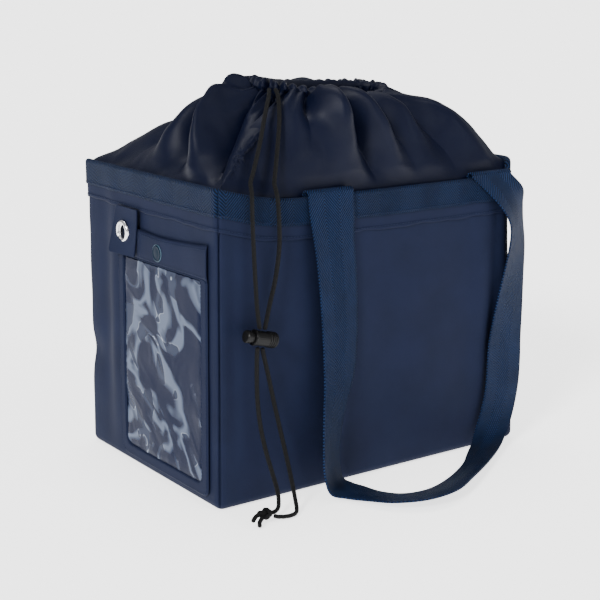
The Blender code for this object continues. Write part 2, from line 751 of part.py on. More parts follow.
def make_cord_lock(plastic, steel, home, cutters):
    """Barrel, sprung button and spring; the strands pass through matching slots in barrel and stem."""
    frame = bpy.data.objects.new("cord_lock_frame", None)
    frame.location = LOCK_CENTRE
    frame.rotation_euler = (0, LOCK_TILT, 0)
    home.objects.link(frame)

    def place(obj):
        obj.parent = frame
        obj.rotation_euler = (0, math.pi / 2, 0)

    def slot(name, x):
        bm = bmesh.new()
        bmesh.ops.create_cube(bm, size=1.0)
        bmesh.ops.scale(bm, vec=(SLOT_LENGTH, SLOT_WIDTH, SLOT_DEPTH), verts=bm.verts)
        cutter = object_from_bmesh(name, bm, plastic, cutters)
        cutter.parent = frame
        cutter.location = (x, 0, 0)
        return cutter

    barrel = turned_along_x(
        "cord_lock",
        [
            (LOCK_RIGHT, 0.0),
            (LOCK_RIGHT, LOCK_RADIUS - BARREL_EDGE),
            (LOCK_RIGHT - BARREL_EDGE, LOCK_RADIUS),
            (LOCK_LEFT + BARREL_MOUTH_EDGE, LOCK_RADIUS),
            (LOCK_LEFT, LOCK_RADIUS - BARREL_MOUTH_EDGE),
            (LOCK_LEFT, LOCK_BORE),
            (LOCK_RIGHT - BARREL_END, LOCK_BORE),
            (LOCK_RIGHT - BARREL_END, 0.0),
        ],
        plastic,
        home,
    )
    place(barrel)
    boolean(barrel, slot("barrel_slot", 0.0), "DIFFERENCE")
    button_right = LOCK_LEFT - BUTTON_TRAVEL - GAP
    button = turned_along_x(
        "lock_button",
        [
            (STEM_RIGHT, 0.0),
            (STEM_RIGHT, STEM_RADIUS),
            (button_right, STEM_RADIUS),
            (button_right, STEM_RADIUS + BUTTON_RIM),
            (BUTTON_LEFT + BARREL_EDGE, STEM_RADIUS + BUTTON_RIM),
            (BUTTON_LEFT, STEM_RADIUS + BUTTON_RIM - BARREL_EDGE),
            (BUTTON_LEFT, 0.0),
        ],
        plastic,
        home,
    )
    place(button)
    boolean(button, slot("stem_slot", -BUTTON_TRAVEL), "DIFFERENCE")
    coil = []
    clearance = GAP + 1.3 * SPRING_WIRE
    start = STEM_RIGHT + clearance
    stop = LOCK_RIGHT - BARREL_END - clearance
    steps = SPRING_TURNS * SPRING_STEPS
    for i in range(steps + 1):
        angle = 2 * math.pi * i / SPRING_STEPS
        x = start + (stop - start) * i / steps
        coil.append((x, SPRING_RADIUS * math.cos(angle), SPRING_RADIUS * math.sin(angle)))
    spring = tube("lock_spring", coil, SPRING_WIRE, steel, home, sides=0)
    spring.parent = frame


def main():
    clear_scene()
    home = new_collection("drawstring_tote_bag")
    cutters = new_collection("cutters")
    fabric = make_material("body_fabric", NAVY, 0.8)
    thin_fabric = make_material("cover_fabric", COVER_NAVY, 0.6)
    webbing = make_material("webbing", TEAL_NAVY, 0.75)
    board = make_material("stiffener", (0.05, 0.05, 0.05), 0.7)
    clear = make_material("clear_vinyl", (0.75, 0.78, 0.82), 0.12, alpha=0.35)
    black_cord = make_material("black_cord", (0.008, 0.008, 0.009), 0.7)
    black_plastic = make_material("black_plastic", (0.010, 0.010, 0.011), 0.35)
    silver = make_material("silver_metal", (0.72, 0.72, 0.74), 0.25, metallic=1.0)
    snap_blue = make_material("snap_enamel", (0.006, 0.035, 0.085), 0.3)
    make_base(fabric, board, home)
    make_panels(fabric, home)
    make_rim(webbing, fabric, home)
    make_handle_anchors(webbing, home)
    make_handles(webbing, home)
    make_cover(thin_fabric, home)
    make_channel(thin_fabric, black_cord, home)
    make_strands(black_cord, home, cutters)
    header, header_out = make_pocket(fabric, clear, home)
    make_snap(header, header_out, snap_blue, home, cutters)
    make_tab(fabric, silver, home, cutters)
    make_cord_lock(black_plastic, silver, home, cutters)


main()
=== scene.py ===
"""Looks of the drawstring tote bag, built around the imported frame. All lengths are in metres."""

import math

import bpy
import numpy as np
from mathutils import Matrix, Vector, noise


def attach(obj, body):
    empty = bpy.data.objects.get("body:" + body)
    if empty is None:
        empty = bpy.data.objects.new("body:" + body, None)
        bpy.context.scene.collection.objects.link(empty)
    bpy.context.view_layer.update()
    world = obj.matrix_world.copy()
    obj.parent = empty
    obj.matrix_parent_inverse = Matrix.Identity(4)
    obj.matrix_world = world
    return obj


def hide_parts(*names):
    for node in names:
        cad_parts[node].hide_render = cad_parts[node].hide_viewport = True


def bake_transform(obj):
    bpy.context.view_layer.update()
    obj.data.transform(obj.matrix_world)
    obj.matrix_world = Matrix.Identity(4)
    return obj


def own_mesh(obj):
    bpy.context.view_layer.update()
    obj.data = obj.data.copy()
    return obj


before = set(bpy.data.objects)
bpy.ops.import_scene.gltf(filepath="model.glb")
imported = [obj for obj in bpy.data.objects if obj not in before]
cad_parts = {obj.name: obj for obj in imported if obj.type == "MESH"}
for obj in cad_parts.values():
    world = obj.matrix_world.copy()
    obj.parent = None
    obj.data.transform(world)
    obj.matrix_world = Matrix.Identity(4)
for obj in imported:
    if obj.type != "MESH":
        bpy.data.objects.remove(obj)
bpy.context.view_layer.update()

LENGTH = 0.358
WIDTH = 0.248
RIM_TOP = 0.290
RIM_SAG = 0.015
CORNER = 0.020
WEBBING_DROP = 0.0245
BAND_DROP = 0.0370
STRAP_WIDTH = 0.050
HINGE_Z = 0.2755
HINGE_Y = WIDTH / 2 + 0.00395
LEFT_ROOT_X = -0.060
RIGHT_ROOT_X = 0.1335
MOUTH_CENTRE = np.array((0.0, -0.032))
MOUTH_LONG = 0.092
MOUTH_SHORT = 0.038
MOUTH_TURN = math.radians(20)
CORD_RADIUS = 0.002
LOCK_CENTRE = Vector((-0.142, -0.138, 0.158))
LOCK_TILT = math.radians(15)
WALL_X = -LENGTH / 2

SPAN_STEPS = 40
BRAID_PITCH = 0.0052
BRAID_RELIEF = 0.085
STITCH_PITCH = 0.0034
STITCH_LENGTH = 0.0026
COVER_CLOTH = 0.0006
COVER_FOOT = 0.0064
COVER_LEVELS = (0.240, 0.252, 0.262)
FOLD_STRENGTH = 2.0
CORD_PRESS = 0.0040
HEM_REACH = 0.0050
HEM_PLEAT = 0.0036
STRAP = 0.0015
STRAP_FOLD = 0.0043
STRAP_END = 0.045
STRAP_CURVE_STEPS = 7
POCKET_OUTER = (-0.110, 0.050, 0.010, 0.2085)
POCKET_INNER = (-0.0990, 0.0390, 0.0210, 0.2077)
WINDOW_YZ = (-0.1040, 0.0440, 0.0160, 0.2060)
HEADER_LOW = 0.2080
HEADER_CROWN = 0.2344
HEADER_SPLIT_Y = 0.0065
TAB_YZ = (0.0090, 0.0500, 0.2100, 0.2540)
EYELET = (0.0320, 0.2310)
SNAP = (-0.027, 0.2195)
BARREL_RADIUS = 0.00675

STRAP_EDGES = [
    ((-0.0850, -0.1300, 0.262), (-0.0350, -0.1290, 0.262)),
    ((-0.0840, -0.1370, 0.232), (-0.0350, -0.1295, 0.232)),
    ((-0.0815, -0.1400, 0.200), (-0.0325, -0.1298, 0.200)),
    ((-0.0790, -0.1426, 0.150), (-0.0310, -0.1298, 0.150)),
    ((-0.0805, -0.1474, 0.108), (-0.0340, -0.1298, 0.108)),
    ((-0.0860, -0.1540, 0.080), (-0.0425, -0.1298, 0.080)),
    ((-0.0890, -0.1580, 0.052), (-0.0490, -0.1298, 0.052)),
    ((-0.0890, -0.1595, 0.028), (-0.0505, -0.1298, 0.026)),
    ((-0.0840, -0.1620, 0.009), (-0.0475, -0.1310, 0.008)),
    ((-0.0720, -0.1690, 0.0045), (-0.0410, -0.1370, 0.0025)),
    ((-0.0620, -0.1880, 0.0060), (-0.0370, -0.1490, 0.0020)),
    ((-0.0480, -0.2110, 0.0085), (-0.0320, -0.1700, 0.0020)),
    ((-0.0220, -0.2270, 0.0110), (-0.0180, -0.1860, 0.0020)),
    ((0.0120, -0.2260, 0.0120), (0.0080, -0.1900, 0.0020)),
    ((0.0480, -0.2080, 0.0120), (0.0400, -0.1800, 0.0020)),
    ((0.0900, -0.1820, 0.0095), (0.0740, -0.1620, 0.0030)),
    ((0.1260, -0.1580, 0.0090), (0.0960, -0.1450, 0.0060)),
    ((0.1480, -0.1430, 0.0130), (0.1080, -0.1370, 0.0110)),
    ((0.1610, -0.1360, 0.0240), (0.1170, -0.1320, 0.0210)),
    ((0.1710, -0.1310, 0.0400), (0.1260, -0.1303, 0.0400)),
    ((0.1770, -0.1290, 0.0620), (0.1310, -0.1303, 0.0620)),
    ((0.1805, -0.1265, 0.0850), (0.1325, -0.1303, 0.0850)),
    ((0.1825, -0.1240, 0.1070), (0.1335, -0.1303, 0.1070)),
    ((0.1875, -0.1195, 0.1350), (0.1385, -0.1310, 0.1350)),
    ((0.1920, -0.1150, 0.1650), (0.1455, -0.1320, 0.1650)),
    ((0.1940, -0.1130, 0.2000), (0.1500, -0.1370, 0.2000)),
    ((0.1915, -0.1120, 0.2250), (0.1500, -0.1390, 0.2250)),
    ((0.1840, -0.1185, 0.2440), (0.1385, -0.1390, 0.2440)),
    ((0.1740, -0.1285, 0.2610), (0.1245, -0.1320, 0.2610)),
]

STRAND_ROUTES = {
    "cord_upper_left": [
        (-0.0935, -0.0800, 0.3665), (-0.1000, -0.0890, 0.3610), (-0.1110, -0.0990, 0.3450),
        (-0.1230, -0.1090, 0.3230), (-0.1350, -0.1175, 0.3020), (-0.1420, -0.1230, 0.2925),
        (-0.1450, -0.1285, 0.2880), (-0.1465, -0.1320, 0.2800), (-0.1465, -0.1325, 0.2600),
        (-0.1455, -0.1325, 0.2350), (-0.1445, -0.1330, 0.2100), (-0.1440, -0.1345, 0.1870),
        (-0.1437, -0.1368, 0.1725), (-0.1433, -0.1380, 0.1662),
    ],
    "cord_upper_right": [
        (-0.0885, -0.0820, 0.3665), (-0.0910, -0.0905, 0.3600), (-0.0970, -0.1010, 0.3420),
        (-0.1050, -0.1100, 0.3200), (-0.1130, -0.1180, 0.2985), (-0.1175, -0.1230, 0.2895),
        (-0.1195, -0.1285, 0.2845), (-0.1200, -0.1320, 0.2760), (-0.1190, -0.1325, 0.2560),
        (-0.1190, -0.1325, 0.2350), (-0.1235, -0.1330, 0.2080), (-0.1310, -0.1345, 0.1850),
        (-0.1360, -0.1368, 0.1715), (-0.1385, -0.1380, 0.1650),
    ],
    "cord_lower_left": [
        (-0.1455, -0.1380, 0.1510), (-0.1462, -0.1375, 0.1440), (-0.1460, -0.1365, 0.1250),
        (-0.1450, -0.1360, 0.1000), (-0.1425, -0.1370, 0.0760), (-0.1385, -0.1390, 0.0540),
        (-0.1345, -0.1430, 0.0340), (-0.1330, -0.1490, 0.0180), (-0.1365, -0.1555, 0.0080),
        (-0.1430, -0.1605, 0.0060), (-0.1500, -0.1628, 0.0066),
    ],
    "cord_lower_right": [
        (-0.1408, -0.1380, 0.1498), (-0.1395, -0.1375, 0.1430), (-0.1340, -0.1365, 0.1230),
        (-0.1280, -0.1360, 0.0980), (-0.1230, -0.1375, 0.0740), (-0.1190, -0.1410, 0.0500),
        (-0.1175, -0.1470, 0.0290), (-0.1190, -0.1560, 0.0110), (-0.1240, -0.1655, 0.0032),
        (-0.1330, -0.1705, 0.0030), (-0.1430, -0.1695, 0.0036), (-0.1500, -0.1672, 0.0052),
    ],
}
TAIL_ROUTES = [
    [(-0.1590, -0.1640, 0.0080), (-0.1670, -0.1660, 0.0085), (-0.1735, -0.1700, 0.0060)],
    [(-0.1590, -0.1650, 0.0060), (-0.1660, -0.1700, 0.0045), (-0.1700, -0.1760, 0.0027)],
]
KNOT_CENTRE = np.array((-0.1560, -0.1640, 0.0078))


# ---------------------------------------------------------------- camera

def make_camera():
    data = bpy.data.cameras.new("camera")
    data.lens = 83.04
    camera = bpy.data.objects.new("camera", data)
    camera.location = (-0.7835, -1.1056, 0.469)
    camera.rotation_euler = (math.radians(76.59), 0.0, math.radians(-35.2))
    bpy.context.scene.collection.objects.link(camera)
    bpy.context.scene.camera = camera


make_camera()


# ---------------------------------------------------------------- small helpers

def ease(t):
    t = np.clip(t, 0.0, 1.0)
    return t * t * (3 - 2 * t)


def unit(vectors):
    return vectors / np.maximum(np.linalg.norm(vectors, axis=-1, keepdims=True), 1e-12)


def run_along(line):
    """Distance from the start of a line to each of its points."""
    return np.concatenate([[0], np.cumsum(np.linalg.norm(np.diff(line, axis=0), axis=1))])


def run_down(grid):
    """Distance down the rows of a grid, as the mean of its columns, with the last one repeated."""
    steps = np.linalg.norm(np.diff(grid, axis=1), axis=2).mean(axis=0)
    run = np.concatenate([[0], np.cumsum(steps)])
    return np.append(run, run[-1])


def curve_through(knots, per_span, end_slope):
    """A smooth curve through the knots. They may be points, or rows of points."""
    slopes = np.empty_like(knots)
    slopes[1:-1] = (knots[2:] - knots[:-2]) / 2
    slopes[0] = (knots[1] - knots[0]) * end_slope
    slopes[-1] = (knots[-1] - knots[-2]) * end_slope
    t = np.linspace(0, 1, per_span, endpoint=False).reshape(-1, *[1] * (knots.ndim - 1))
    spans = [
        (2 * t**3 - 3 * t**2 + 1) * a
        + (t**3 - 2 * t**2 + t) * u
        + (3 * t**2 - 2 * t**3) * b
        + (t**3 - t**2) * v
        for a, b, u, v in zip(knots, knots[1:], slopes, slopes[1:])
    ]
    return np.concatenate([*spans, knots[-1:]])


def smooth_line(points, step):
    """Points a given step apart along a smooth curve through the given points."""
    return resample(curve_through(np.array(points, float), SPAN_STEPS, 0.5), step)


def resample(line, step):
    length = run_along(line)
    count = max(int(round(length[-1] / step)), 2)
    places = np.linspace(0, length[-1], count + 1)
    return np.stack([np.interp(places, length, line[:, k]) for k in range(line.shape[1])], axis=1)


def line_length(line):
    return float(run_along(line)[-1])


def grid_normals(grid, closed):
    """Unit normals of a grid of points, outward for rows that climb while columns turn anticlockwise."""
    if closed:
        wide = np.concatenate([grid[-1:], grid, grid[:1]])
        across = wide[2:] - wide[:-2]
    else:
        across = np.gradient(grid, axis=0)
    up = np.gradient(grid, axis=1)
    return unit(np.cross(across, up))


def new_object(name, mesh, material, smooth=True):
    """A scene object of that mesh, with its material."""
    obj = bpy.data.objects.new(name, mesh)
    bpy.context.scene.collection.objects.link(obj)
    mesh.materials.append(material)
    if smooth:
        mesh.shade_smooth()
    return obj


def grid_object(name, grid, material, closed=False, uv=None):
    """A mesh through a grid of points (columns, rows, 3). UVs are in metres along the cloth."""
    columns, rows = grid.shape[:2]
    if uv is None:
        across = np.linalg.norm(np.diff(grid, axis=0, append=grid[:1]), axis=2).mean(axis=1)
        down = np.linalg.norm(np.diff(grid, axis=1), axis=2).mean(axis=0)
        u = np.concatenate([[0], np.cumsum(across)])
        v = np.concatenate([[0], np.cumsum(down), [down.sum() + down.mean()]])
    else:
        u, v = uv
    i = np.arange(columns if closed else columns - 1)
    j = np.arange(rows - 1)
    ii, jj = np.meshgrid(i, j, indexing="ij")
    ii, jj = ii.ravel(), jj.ravel()
    i2 = (ii + 1) % columns
    faces = np.stack([ii * rows + jj, i2 * rows + jj, i2 * rows + jj + 1, ii * rows + jj + 1], axis=1)
    mesh = bpy.data.meshes.new(name)
    mesh.from_pydata(grid.reshape(-1, 3).tolist(), [], faces.tolist())
    coords = np.stack(
        [
            np.stack([u[ii], v[jj]], axis=1),
            np.stack([u[ii + 1], v[jj]], axis=1),
            np.stack([u[ii + 1], v[jj + 1]], axis=1),
            np.stack([u[ii], v[jj + 1]], axis=1),
        ],
        axis=1,
    )
    layer = mesh.uv_layers.new(name="cloth")
    layer.data.foreach_set("uv", coords.astype(np.float32).ravel())
    return new_object(name, mesh, material)


def thicken(obj, thickness, offset=0.0, even=True):
    """Gives a sheet its thickness, and makes the mesh final."""
    solid = obj.modifiers.new("thickness", "SOLIDIFY")
    solid.thickness = thickness
    solid.offset = offset
    solid.use_even_offset = even
    bpy.context.view_layer.update()
    evaluated = obj.evaluated_get(bpy.context.evaluated_depsgraph_get())
    mesh = bpy.data.meshes.new_from_object(evaluated)
    obj.modifiers.clear()
    obj.data = mesh


def place_piece(piece, nodes=(), body="bag"):
    """Hides the CAD nodes that a piece stands for, and gives it the body that it rides."""
    if nodes:
        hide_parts(*nodes)
    if body:
        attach(piece, body)


def joined(name, meshes_points, meshes_faces, material):
    """One mesh from several sets of points and faces."""
    points = []
    faces = []
    base = 0
    for p, f in zip(meshes_points, meshes_faces):
        points.append(p)
        faces += [[k + base for k in face] for face in f]
        base += len(p)
    mesh = bpy.data.meshes.new(name)
    mesh.from_pydata(np.concatenate(points).tolist(), [], faces)
    return new_object(name, mesh, material)


def frames_along(line):
    """Unit tangents and two normals along a line, turned as little as possible."""
    tangents = unit(np.gradient(line, axis=0))
    side = np.cross(tangents[0], (0.0, 0.0, 1.0))
    if np.linalg.norm(side) < 0.1:
        side = np.cross(tangents[0], (0.0, 1.0, 0.0))
    sides = []
    for tangent in tangents:
        side = side - tangent * np.dot(side, tangent)
        side = side / np.linalg.norm(side)
        sides.append(side)
    sides = np.array(sides)
    return tangents, sides, np.cross(tangents, sides)


def braid_tube(name, line, radius, material, sides=18):
    """A braided cord: yarn bundles cross each other round the tube."""
    _, a, b = frames_along(line)
    run = run_along(line)
    angle = np.linspace(0, 2 * math.pi, sides, endpoint=False)
    turn = run[None, :] / BRAID_PITCH * 2 * math.pi
    over = np.cos(3 * angle[:, None] + turn)
    under = np.cos(3 * angle[:, None] - turn)
    r = radius * (1 - BRAID_RELIEF + BRAID_RELIEF * np.maximum(over, under))
    ends = np.minimum(run, run[-1] - run)
    r = r * np.sqrt(np.clip(ends / (radius * 0.6), 0.02, 1.0))[None, :]
    grid = (
        line[None]
        + a[None] * (r * np.cos(angle)[:, None])[..., None]
        + b[None] * (r * np.sin(angle)[:, None])[..., None]
    )
    u = np.arange(sides + 1) * (2 * math.pi * radius / sides)
    return grid_object(name, grid[::-1], material, closed=True, uv=(u, np.append(run, run[-1])))


# ---------------------------------------------------------------- materials

class Nodes:
    """Short names for making shader nodes."""

    def __init__(self, name):
        self.material = bpy.data.materials.new(name)
        self.material.use_nodes = True
        self.tree = self.material.node_tree
        self.shader = self.tree.nodes["Principled BSDF"]

    def put(self, kind, inputs=(), **settings):
        node = self.tree.nodes.new(kind)
        for key, value in settings.items():
            setattr(node, key, value)
        for key, value in dict(inputs).items():
            self.feed(node.inputs[key], value)
        return node

    def feed(self, socket, value):
        if isinstance(value, bpy.types.Node):
            value = value.outputs[0]
        if isinstance(value, bpy.types.NodeSocket):
            self.tree.links.new(value, socket)
        else:
            socket.default_value = value

    def math(self, operation, a, b=0.0):
        return self.put("ShaderNodeMath", {0: a, 1: b}, operation=operation)

    def cloth(self):
        """(u, v) of the cloth, in metres."""
        spot = self.put("ShaderNodeUVMap", uv_map="cloth")
        parts = self.put("ShaderNodeSeparateXYZ", {0: spot})
        return parts.outputs[0], parts.outputs[1]

    def place(self):
        return self.put("ShaderNodeTexCoord").outputs["Object"]

    def wave(self, value, pitch):
        """A smooth wave from 0 to 1 with that pitch."""
        turned = self.math("SINE", self.math("MULTIPLY", value, 2 * math.pi / pitch))
        return self.math("MULTIPLY_ADD", turned, 0.5)

    def noise(self, scale, detail=3.0, rough=0.55, distortion=0.0, at=None):
        inputs = {"Scale": scale, "Detail": detail, "Roughness": rough, "Distortion": distortion}
        return self.put("ShaderNodeTexNoise", {"Vector": at or self.place(), **inputs}).outputs["Fac"]

    def ramp(self, value, low, high, to_low=0.0, to_high=1.0):
        return self.put(
            "ShaderNodeMapRange", {0: value, 1: low, 2: high, 3: to_low, 4: to_high}
        ).outputs[0]

    def blend(self, share, a, b):
        node = self.put("ShaderNodeMix", data_type="RGBA")
        self.feed(node.inputs["Factor"], share)
        self.feed(node.inputs["A"], a if not isinstance(a, tuple) else (*a, 1.0))
        self.feed(node.inputs["B"], b if not isinstance(b, tuple) else (*b, 1.0))
        return node.outputs["Result"]

    def bump(self, height, strength, distance, below=None):
        node = self.put(
            "ShaderNodeBump", {"Height": height, "Strength": strength, "Distance": distance}
        )
        if below:
            self.feed(node.inputs["Normal"], below)
        return node.outputs["Normal"]

    def finish(self, colour, rough, normal=None, **fixed):
        self.feed(self.shader.inputs["Base Color"], colour)
        self.feed(self.shader.inputs["Roughness"], rough)
        if normal:
            self.feed(self.shader.inputs["Normal"], normal)
        for key, value in fixed.items():
            self.shader.inputs[key.replace("_", " ")].default_value = value
        return self.material


def times(colour, k):
    return tuple(c * k for c in colour)


def woven(name, colour, pitch, strength, rough, sheen, gloss, mottle=0.12, bump_scale=0.00012):
    """Plain-woven cloth: warp and weft ribs, with a soft mottle."""
    n = Nodes(name)
    u, v = n.cloth()
    warp = n.math("SINE", n.math("MULTIPLY", u, 2 * math.pi / pitch))
    weft = n.math("SINE", n.math("MULTIPLY", v, 2 * math.pi / pitch))
    weave = n.ramp(n.math("MULTIPLY", warp, weft), -1.0, 1.0)
    soft = n.noise(28.0, 4.0)
    fine = n.noise(900.0, 2.0)
    tone = n.ramp(soft, 0.25, 0.75, 1 - mottle, 1 + mottle)
    shade = n.blend(weave, times(colour, 0.86), times(colour, 1.14))
    scaled = n.put("ShaderNodeVectorMath", {0: shade, 1: (1, 1, 1)}, operation="MULTIPLY")
    level = n.put("ShaderNodeCombineXYZ", {0: tone, 1: tone, 2: tone})
    n.feed(scaled.inputs[1], level)
    threads = n.bump(weave, strength, bump_scale)
    rippled = n.bump(n.noise(60.0, 3.0), 0.10, 0.002, threads)
    roughness = n.ramp(fine, 0.2, 0.8, rough - 0.06, rough + 0.06)
    return n.finish(
        scaled.outputs[0], roughness, rippled,
        Sheen_Weight=sheen, Sheen_Roughness=0.4, Specular_IOR_Level=gloss,
    )


def taped(name, colour, rough=0.62, rib=0.0018, column=0.0125, painted_rib_shade=0.85):
    """Herringbone webbing: diagonal ribs that change direction from column to column, painted darker in
    their grooves and lighter on their crests as painted shade.
    """
    n = Nodes(name)
    u, v = n.cloth()
    zigzag = n.put("ShaderNodeMath", {0: u, 1: column}, operation="PINGPONG")
    slant = n.math("ADD", v, n.math("MULTIPLY", zigzag, 1.15))
    rib_wave = n.wave(slant, rib)
    thread = n.wave(u, 0.0007)
    height = n.math("MULTIPLY_ADD", thread, 0.25)
    n.feed(height.inputs[2], rib_wave)
    soft = n.noise(45.0, 3.0)
    tone = n.ramp(soft, 0.3, 0.7, 0.85, 1.15)
    # Painted shade: the rib grooves are coloured darker and the crests lighter, following the bump.
    shade = n.blend(rib_wave, times(colour, 1 - painted_rib_shade), times(colour, 1 + painted_rib_shade))
    level = n.put("ShaderNodeCombineXYZ", {0: tone, 1: tone, 2: tone})
    scaled = n.put("ShaderNodeVectorMath", {0: shade, 1: level}, operation="MULTIPLY")
    normal = n.bump(height, 1.0, 0.0009)
    return n.finish(
        scaled.outputs[0], rough, normal, Sheen_Weight=0.01, Sheen_Roughness=0.4, Specular_IOR_Level=0.08
    )


def plain(name, colour, rough, metallic=0.0, grain=400.0, strength=0.08, **fixed):
    """Moulded, plated or painted finish with a fine uneven surface."""
    n = Nodes(name)
    spots = n.noise(grain, 3.0)
    shade = n.blend(spots, times(colour, 0.88), times(colour, 1.12))
    normal = n.bump(n.noise(grain * 2, 2.0), strength, 0.0001)
    roughness = n.ramp(n.noise(grain / 6, 3.0), 0.3, 0.7, rough * 0.85, rough * 1.2)
    return n.finish(shade, roughness, normal, Metallic=metallic, **fixed)


def braided(name, colour):
    n = Nodes(name)
    u, v = n.cloth()
    yarn = n.wave(n.math("ADD", n.math("MULTIPLY", u, 2.0), v), 0.0022)
    # The yarn crests are painted lighter and the dips darker: a painted highlight and shade that follow
    # the bump.
    shade = n.blend(yarn, times(colour, 0.4), times(colour, 3.2))
    return n.finish(shade, 0.7, n.bump(yarn, 0.9, 0.0005), Sheen_Weight=0.01, Specular_IOR_Level=0.10)


def film(name):
    """Soft clear vinyl: dark, with broad milky reflections painted into its colour that end in crisp
    edges, and pale highlights painted along its creases.
    """
    n = Nodes(name)
    spot = n.place()
    turned_spot = n.put(
        "ShaderNodeMapping",
        {"Vector": spot, "Rotation": (0.80, 0.0, 0.0), "Scale": (1.0, 1.5, 1.0)},
        vector_type="TEXTURE",
    ).outputs["Vector"]
    patches = n.noise(21.0, 2.2, 0.5, 0.9, at=turned_spot)
    creases = n.noise(33.0, 1.4, 0.4, 1.3, at=turned_spot)
    # The milky patches are painted reflections: a pale colour mixed into the base colour by a noise mask.
    band = n.math("PINGPONG", n.math("MULTIPLY", patches, 6.0), 1.0)
    painted_reflection = n.ramp(band, 0.50, 0.88)
    crisp = n.ramp(creases, 0.47, 0.50)
    stepped = n.math("MULTIPLY_ADD", crisp, 0.75)
    n.feed(stepped.inputs[2], 0.25)
    painted_reflection_share = n.math("MULTIPLY", painted_reflection, stepped)
    # Thin pale lines along the creases are painted highlights.
    ridge = n.math("ABSOLUTE", n.math("SUBTRACT", creases, 0.485))
    line = n.ramp(ridge, 0.0, 0.006, 1.0, 0.0)
    shade = n.blend(painted_reflection_share, (0.0035, 0.0065, 0.0240), (0.078, 0.098, 0.145))
    with_painted_glints = n.blend(n.math("MULTIPLY", line, n.math("MULTIPLY", painted_reflection, 0.55)), shade, (0.50, 0.54, 0.62))
    n.feed(n.shader.inputs["Alpha"], n.ramp(painted_reflection_share, 0.0, 1.0, 0.94, 0.99))
    rough = n.ramp(n.noise(50.0, 3.0), 0.3, 0.7, 0.10, 0.22)
    return n.finish(with_painted_glints, rough, n.bump(creases, 0.30, 0.003), Specular_IOR_Level=0.04)


NAVY = (0.0060, 0.0092, 0.0262)
COVER_NAVY = (0.0016, 0.0030, 0.0125)
TEAL_NAVY = (0.0026, 0.0088, 0.0300)
BLACK = (0.0030, 0.0030, 0.0033)

body_cloth = woven("body_cloth", NAVY, 0.0011, 0.35, 0.72, 0.01, 0.08)
cover_cloth = woven("cover_cloth", COVER_NAVY, 0.0007, 0.25, 0.44, 0.005, 0.11, mottle=0.10)
webbing_cloth = taped("webbing_cloth", times(TEAL_NAVY, 1.3), rib=0.0030, column=0.0167)
rim_cloth = taped("rim_cloth", TEAL_NAVY, rib=0.0030, column=0.0245)
thread_cloth = braided("thread_cloth", (0.0045, 0.0072, 0.0200))
cord_cloth = braided("cord_cloth", BLACK)
black_plastic = plain("lock_plastic", (0.003, 0.003, 0.0033), 0.36, Specular_IOR_Level=0.16)
silver = plain("eyelet_metal", (0.78, 0.78, 0.80), 0.20, metallic=1.0, strength=0.03)
enamel = plain("snap_enamel_paint", (0.0006, 0.0070, 0.0180), 0.40, Specular_IOR_Level=0.05)
# The snap rim's lighter colour is a painted highlight along the cap's edge.
snap_rim_highlight = plain("snap_rim_painted_highlight", (0.040, 0.085, 0.120), 0.28, Specular_IOR_Level=0.5)
steel = plain("spring_wire", (0.62, 0.62, 0.64), 0.25, metallic=1.0)
board = plain("board_sheet", (0.020, 0.020, 0.023), 0.62, grain=120.0)
vinyl = film("window_vinyl")


# ---------------------------------------------------------------- cords


def make_cords():
    """The four strands, their knot, and its two tails."""
    strands = {}
    for name, route in STRAND_ROUTES.items():
        line = smooth_line(route, 0.0005)
        piece = braid_tube(name.replace("cord_", "strand_"), line, CORD_RADIUS, cord_cloth)
        place_piece(piece, [name], body=None)
        strands[name] = (piece, line)
    t = np.linspace(0, 2 * math.pi, 220, endpoint=False)
    loop = np.stack(
        [np.sin(t) + 2 * np.sin(2 * t), np.cos(t) - 2 * np.cos(2 * t), -np.sin(3 * t) * 1.15], axis=1
    )
    loop = loop * 0.00185 * np.array((1.1, 1.0, 1.0)) + KNOT_CENTRE
    loop = np.concatenate([loop, loop[:1]])
    knot = braid_tube("knot", resample(loop, 0.0005)[:-1], CORD_RADIUS * 0.98, cord_cloth)
    place_piece(knot, ["cord_knot"])
    for number, route in enumerate(TAIL_ROUTES):
        tail = braid_tube(f"knot_tail_{number}", smooth_line(route, 0.0005), CORD_RADIUS, cord_cloth)
        place_piece(tail)
    for name, (piece, line) in strands.items():
        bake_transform(piece)


make_cords()


# ---------------------------------------------------------------- body plan

SIDE_STEPS = {0: 84, 1: 60, 2: 84, 3: 60}
CORNER_STEPS = 18


def stations():
    """Plan stations going round once: (corner index, angle) or (corner index, share along the side)."""
    items = []
    for quarter in range(4):
        for i in range(CORNER_STEPS + 1):
            items.append((quarter, True, math.pi / 2 * (quarter + i / CORNER_STEPS)))
        for i in range(1, SIDE_STEPS[quarter]):
            items.append((quarter, False, i / SIDE_STEPS[quarter]))
    return items


STATIONS = stations()
SIGNS = np.array(((1, 1), (-1, 1), (-1, -1), (1, -1)), float)


def corner_radii(z):
    """Rear right, rear left, front left, front right."""
    t = np.clip(z / RIM_TOP, 0, 1)
    return (0.013, 0.012, 0.0085 - 0.0015 * t, 0.0085 + 0.0185 * ease(t * 1.1))


def outline(out, z=RIM_TOP):
    """The bag's plan at one height, moved outward, with (x, y) for each station."""
    radii = corner_radii(z)
    centres = [SIGNS[q] * (LENGTH / 2 - radii[q], WIDTH / 2 - radii[q]) for q in range(4)]

    def at(quarter, angle):
        return centres[quarter] + (radii[quarter] + out) * np.array((math.cos(angle), math.sin(angle)))

    points = []
    for quarter, round_part, value in STATIONS:
        if round_part:
            points.append(at(quarter, value))
            continue
        here = at(quarter, math.pi / 2 * (quarter + 1))
        there = at((quarter + 1) % 4, math.pi / 2 * (quarter + 1))
        points.append(here + (there - here) * value)
    return np.array(points)


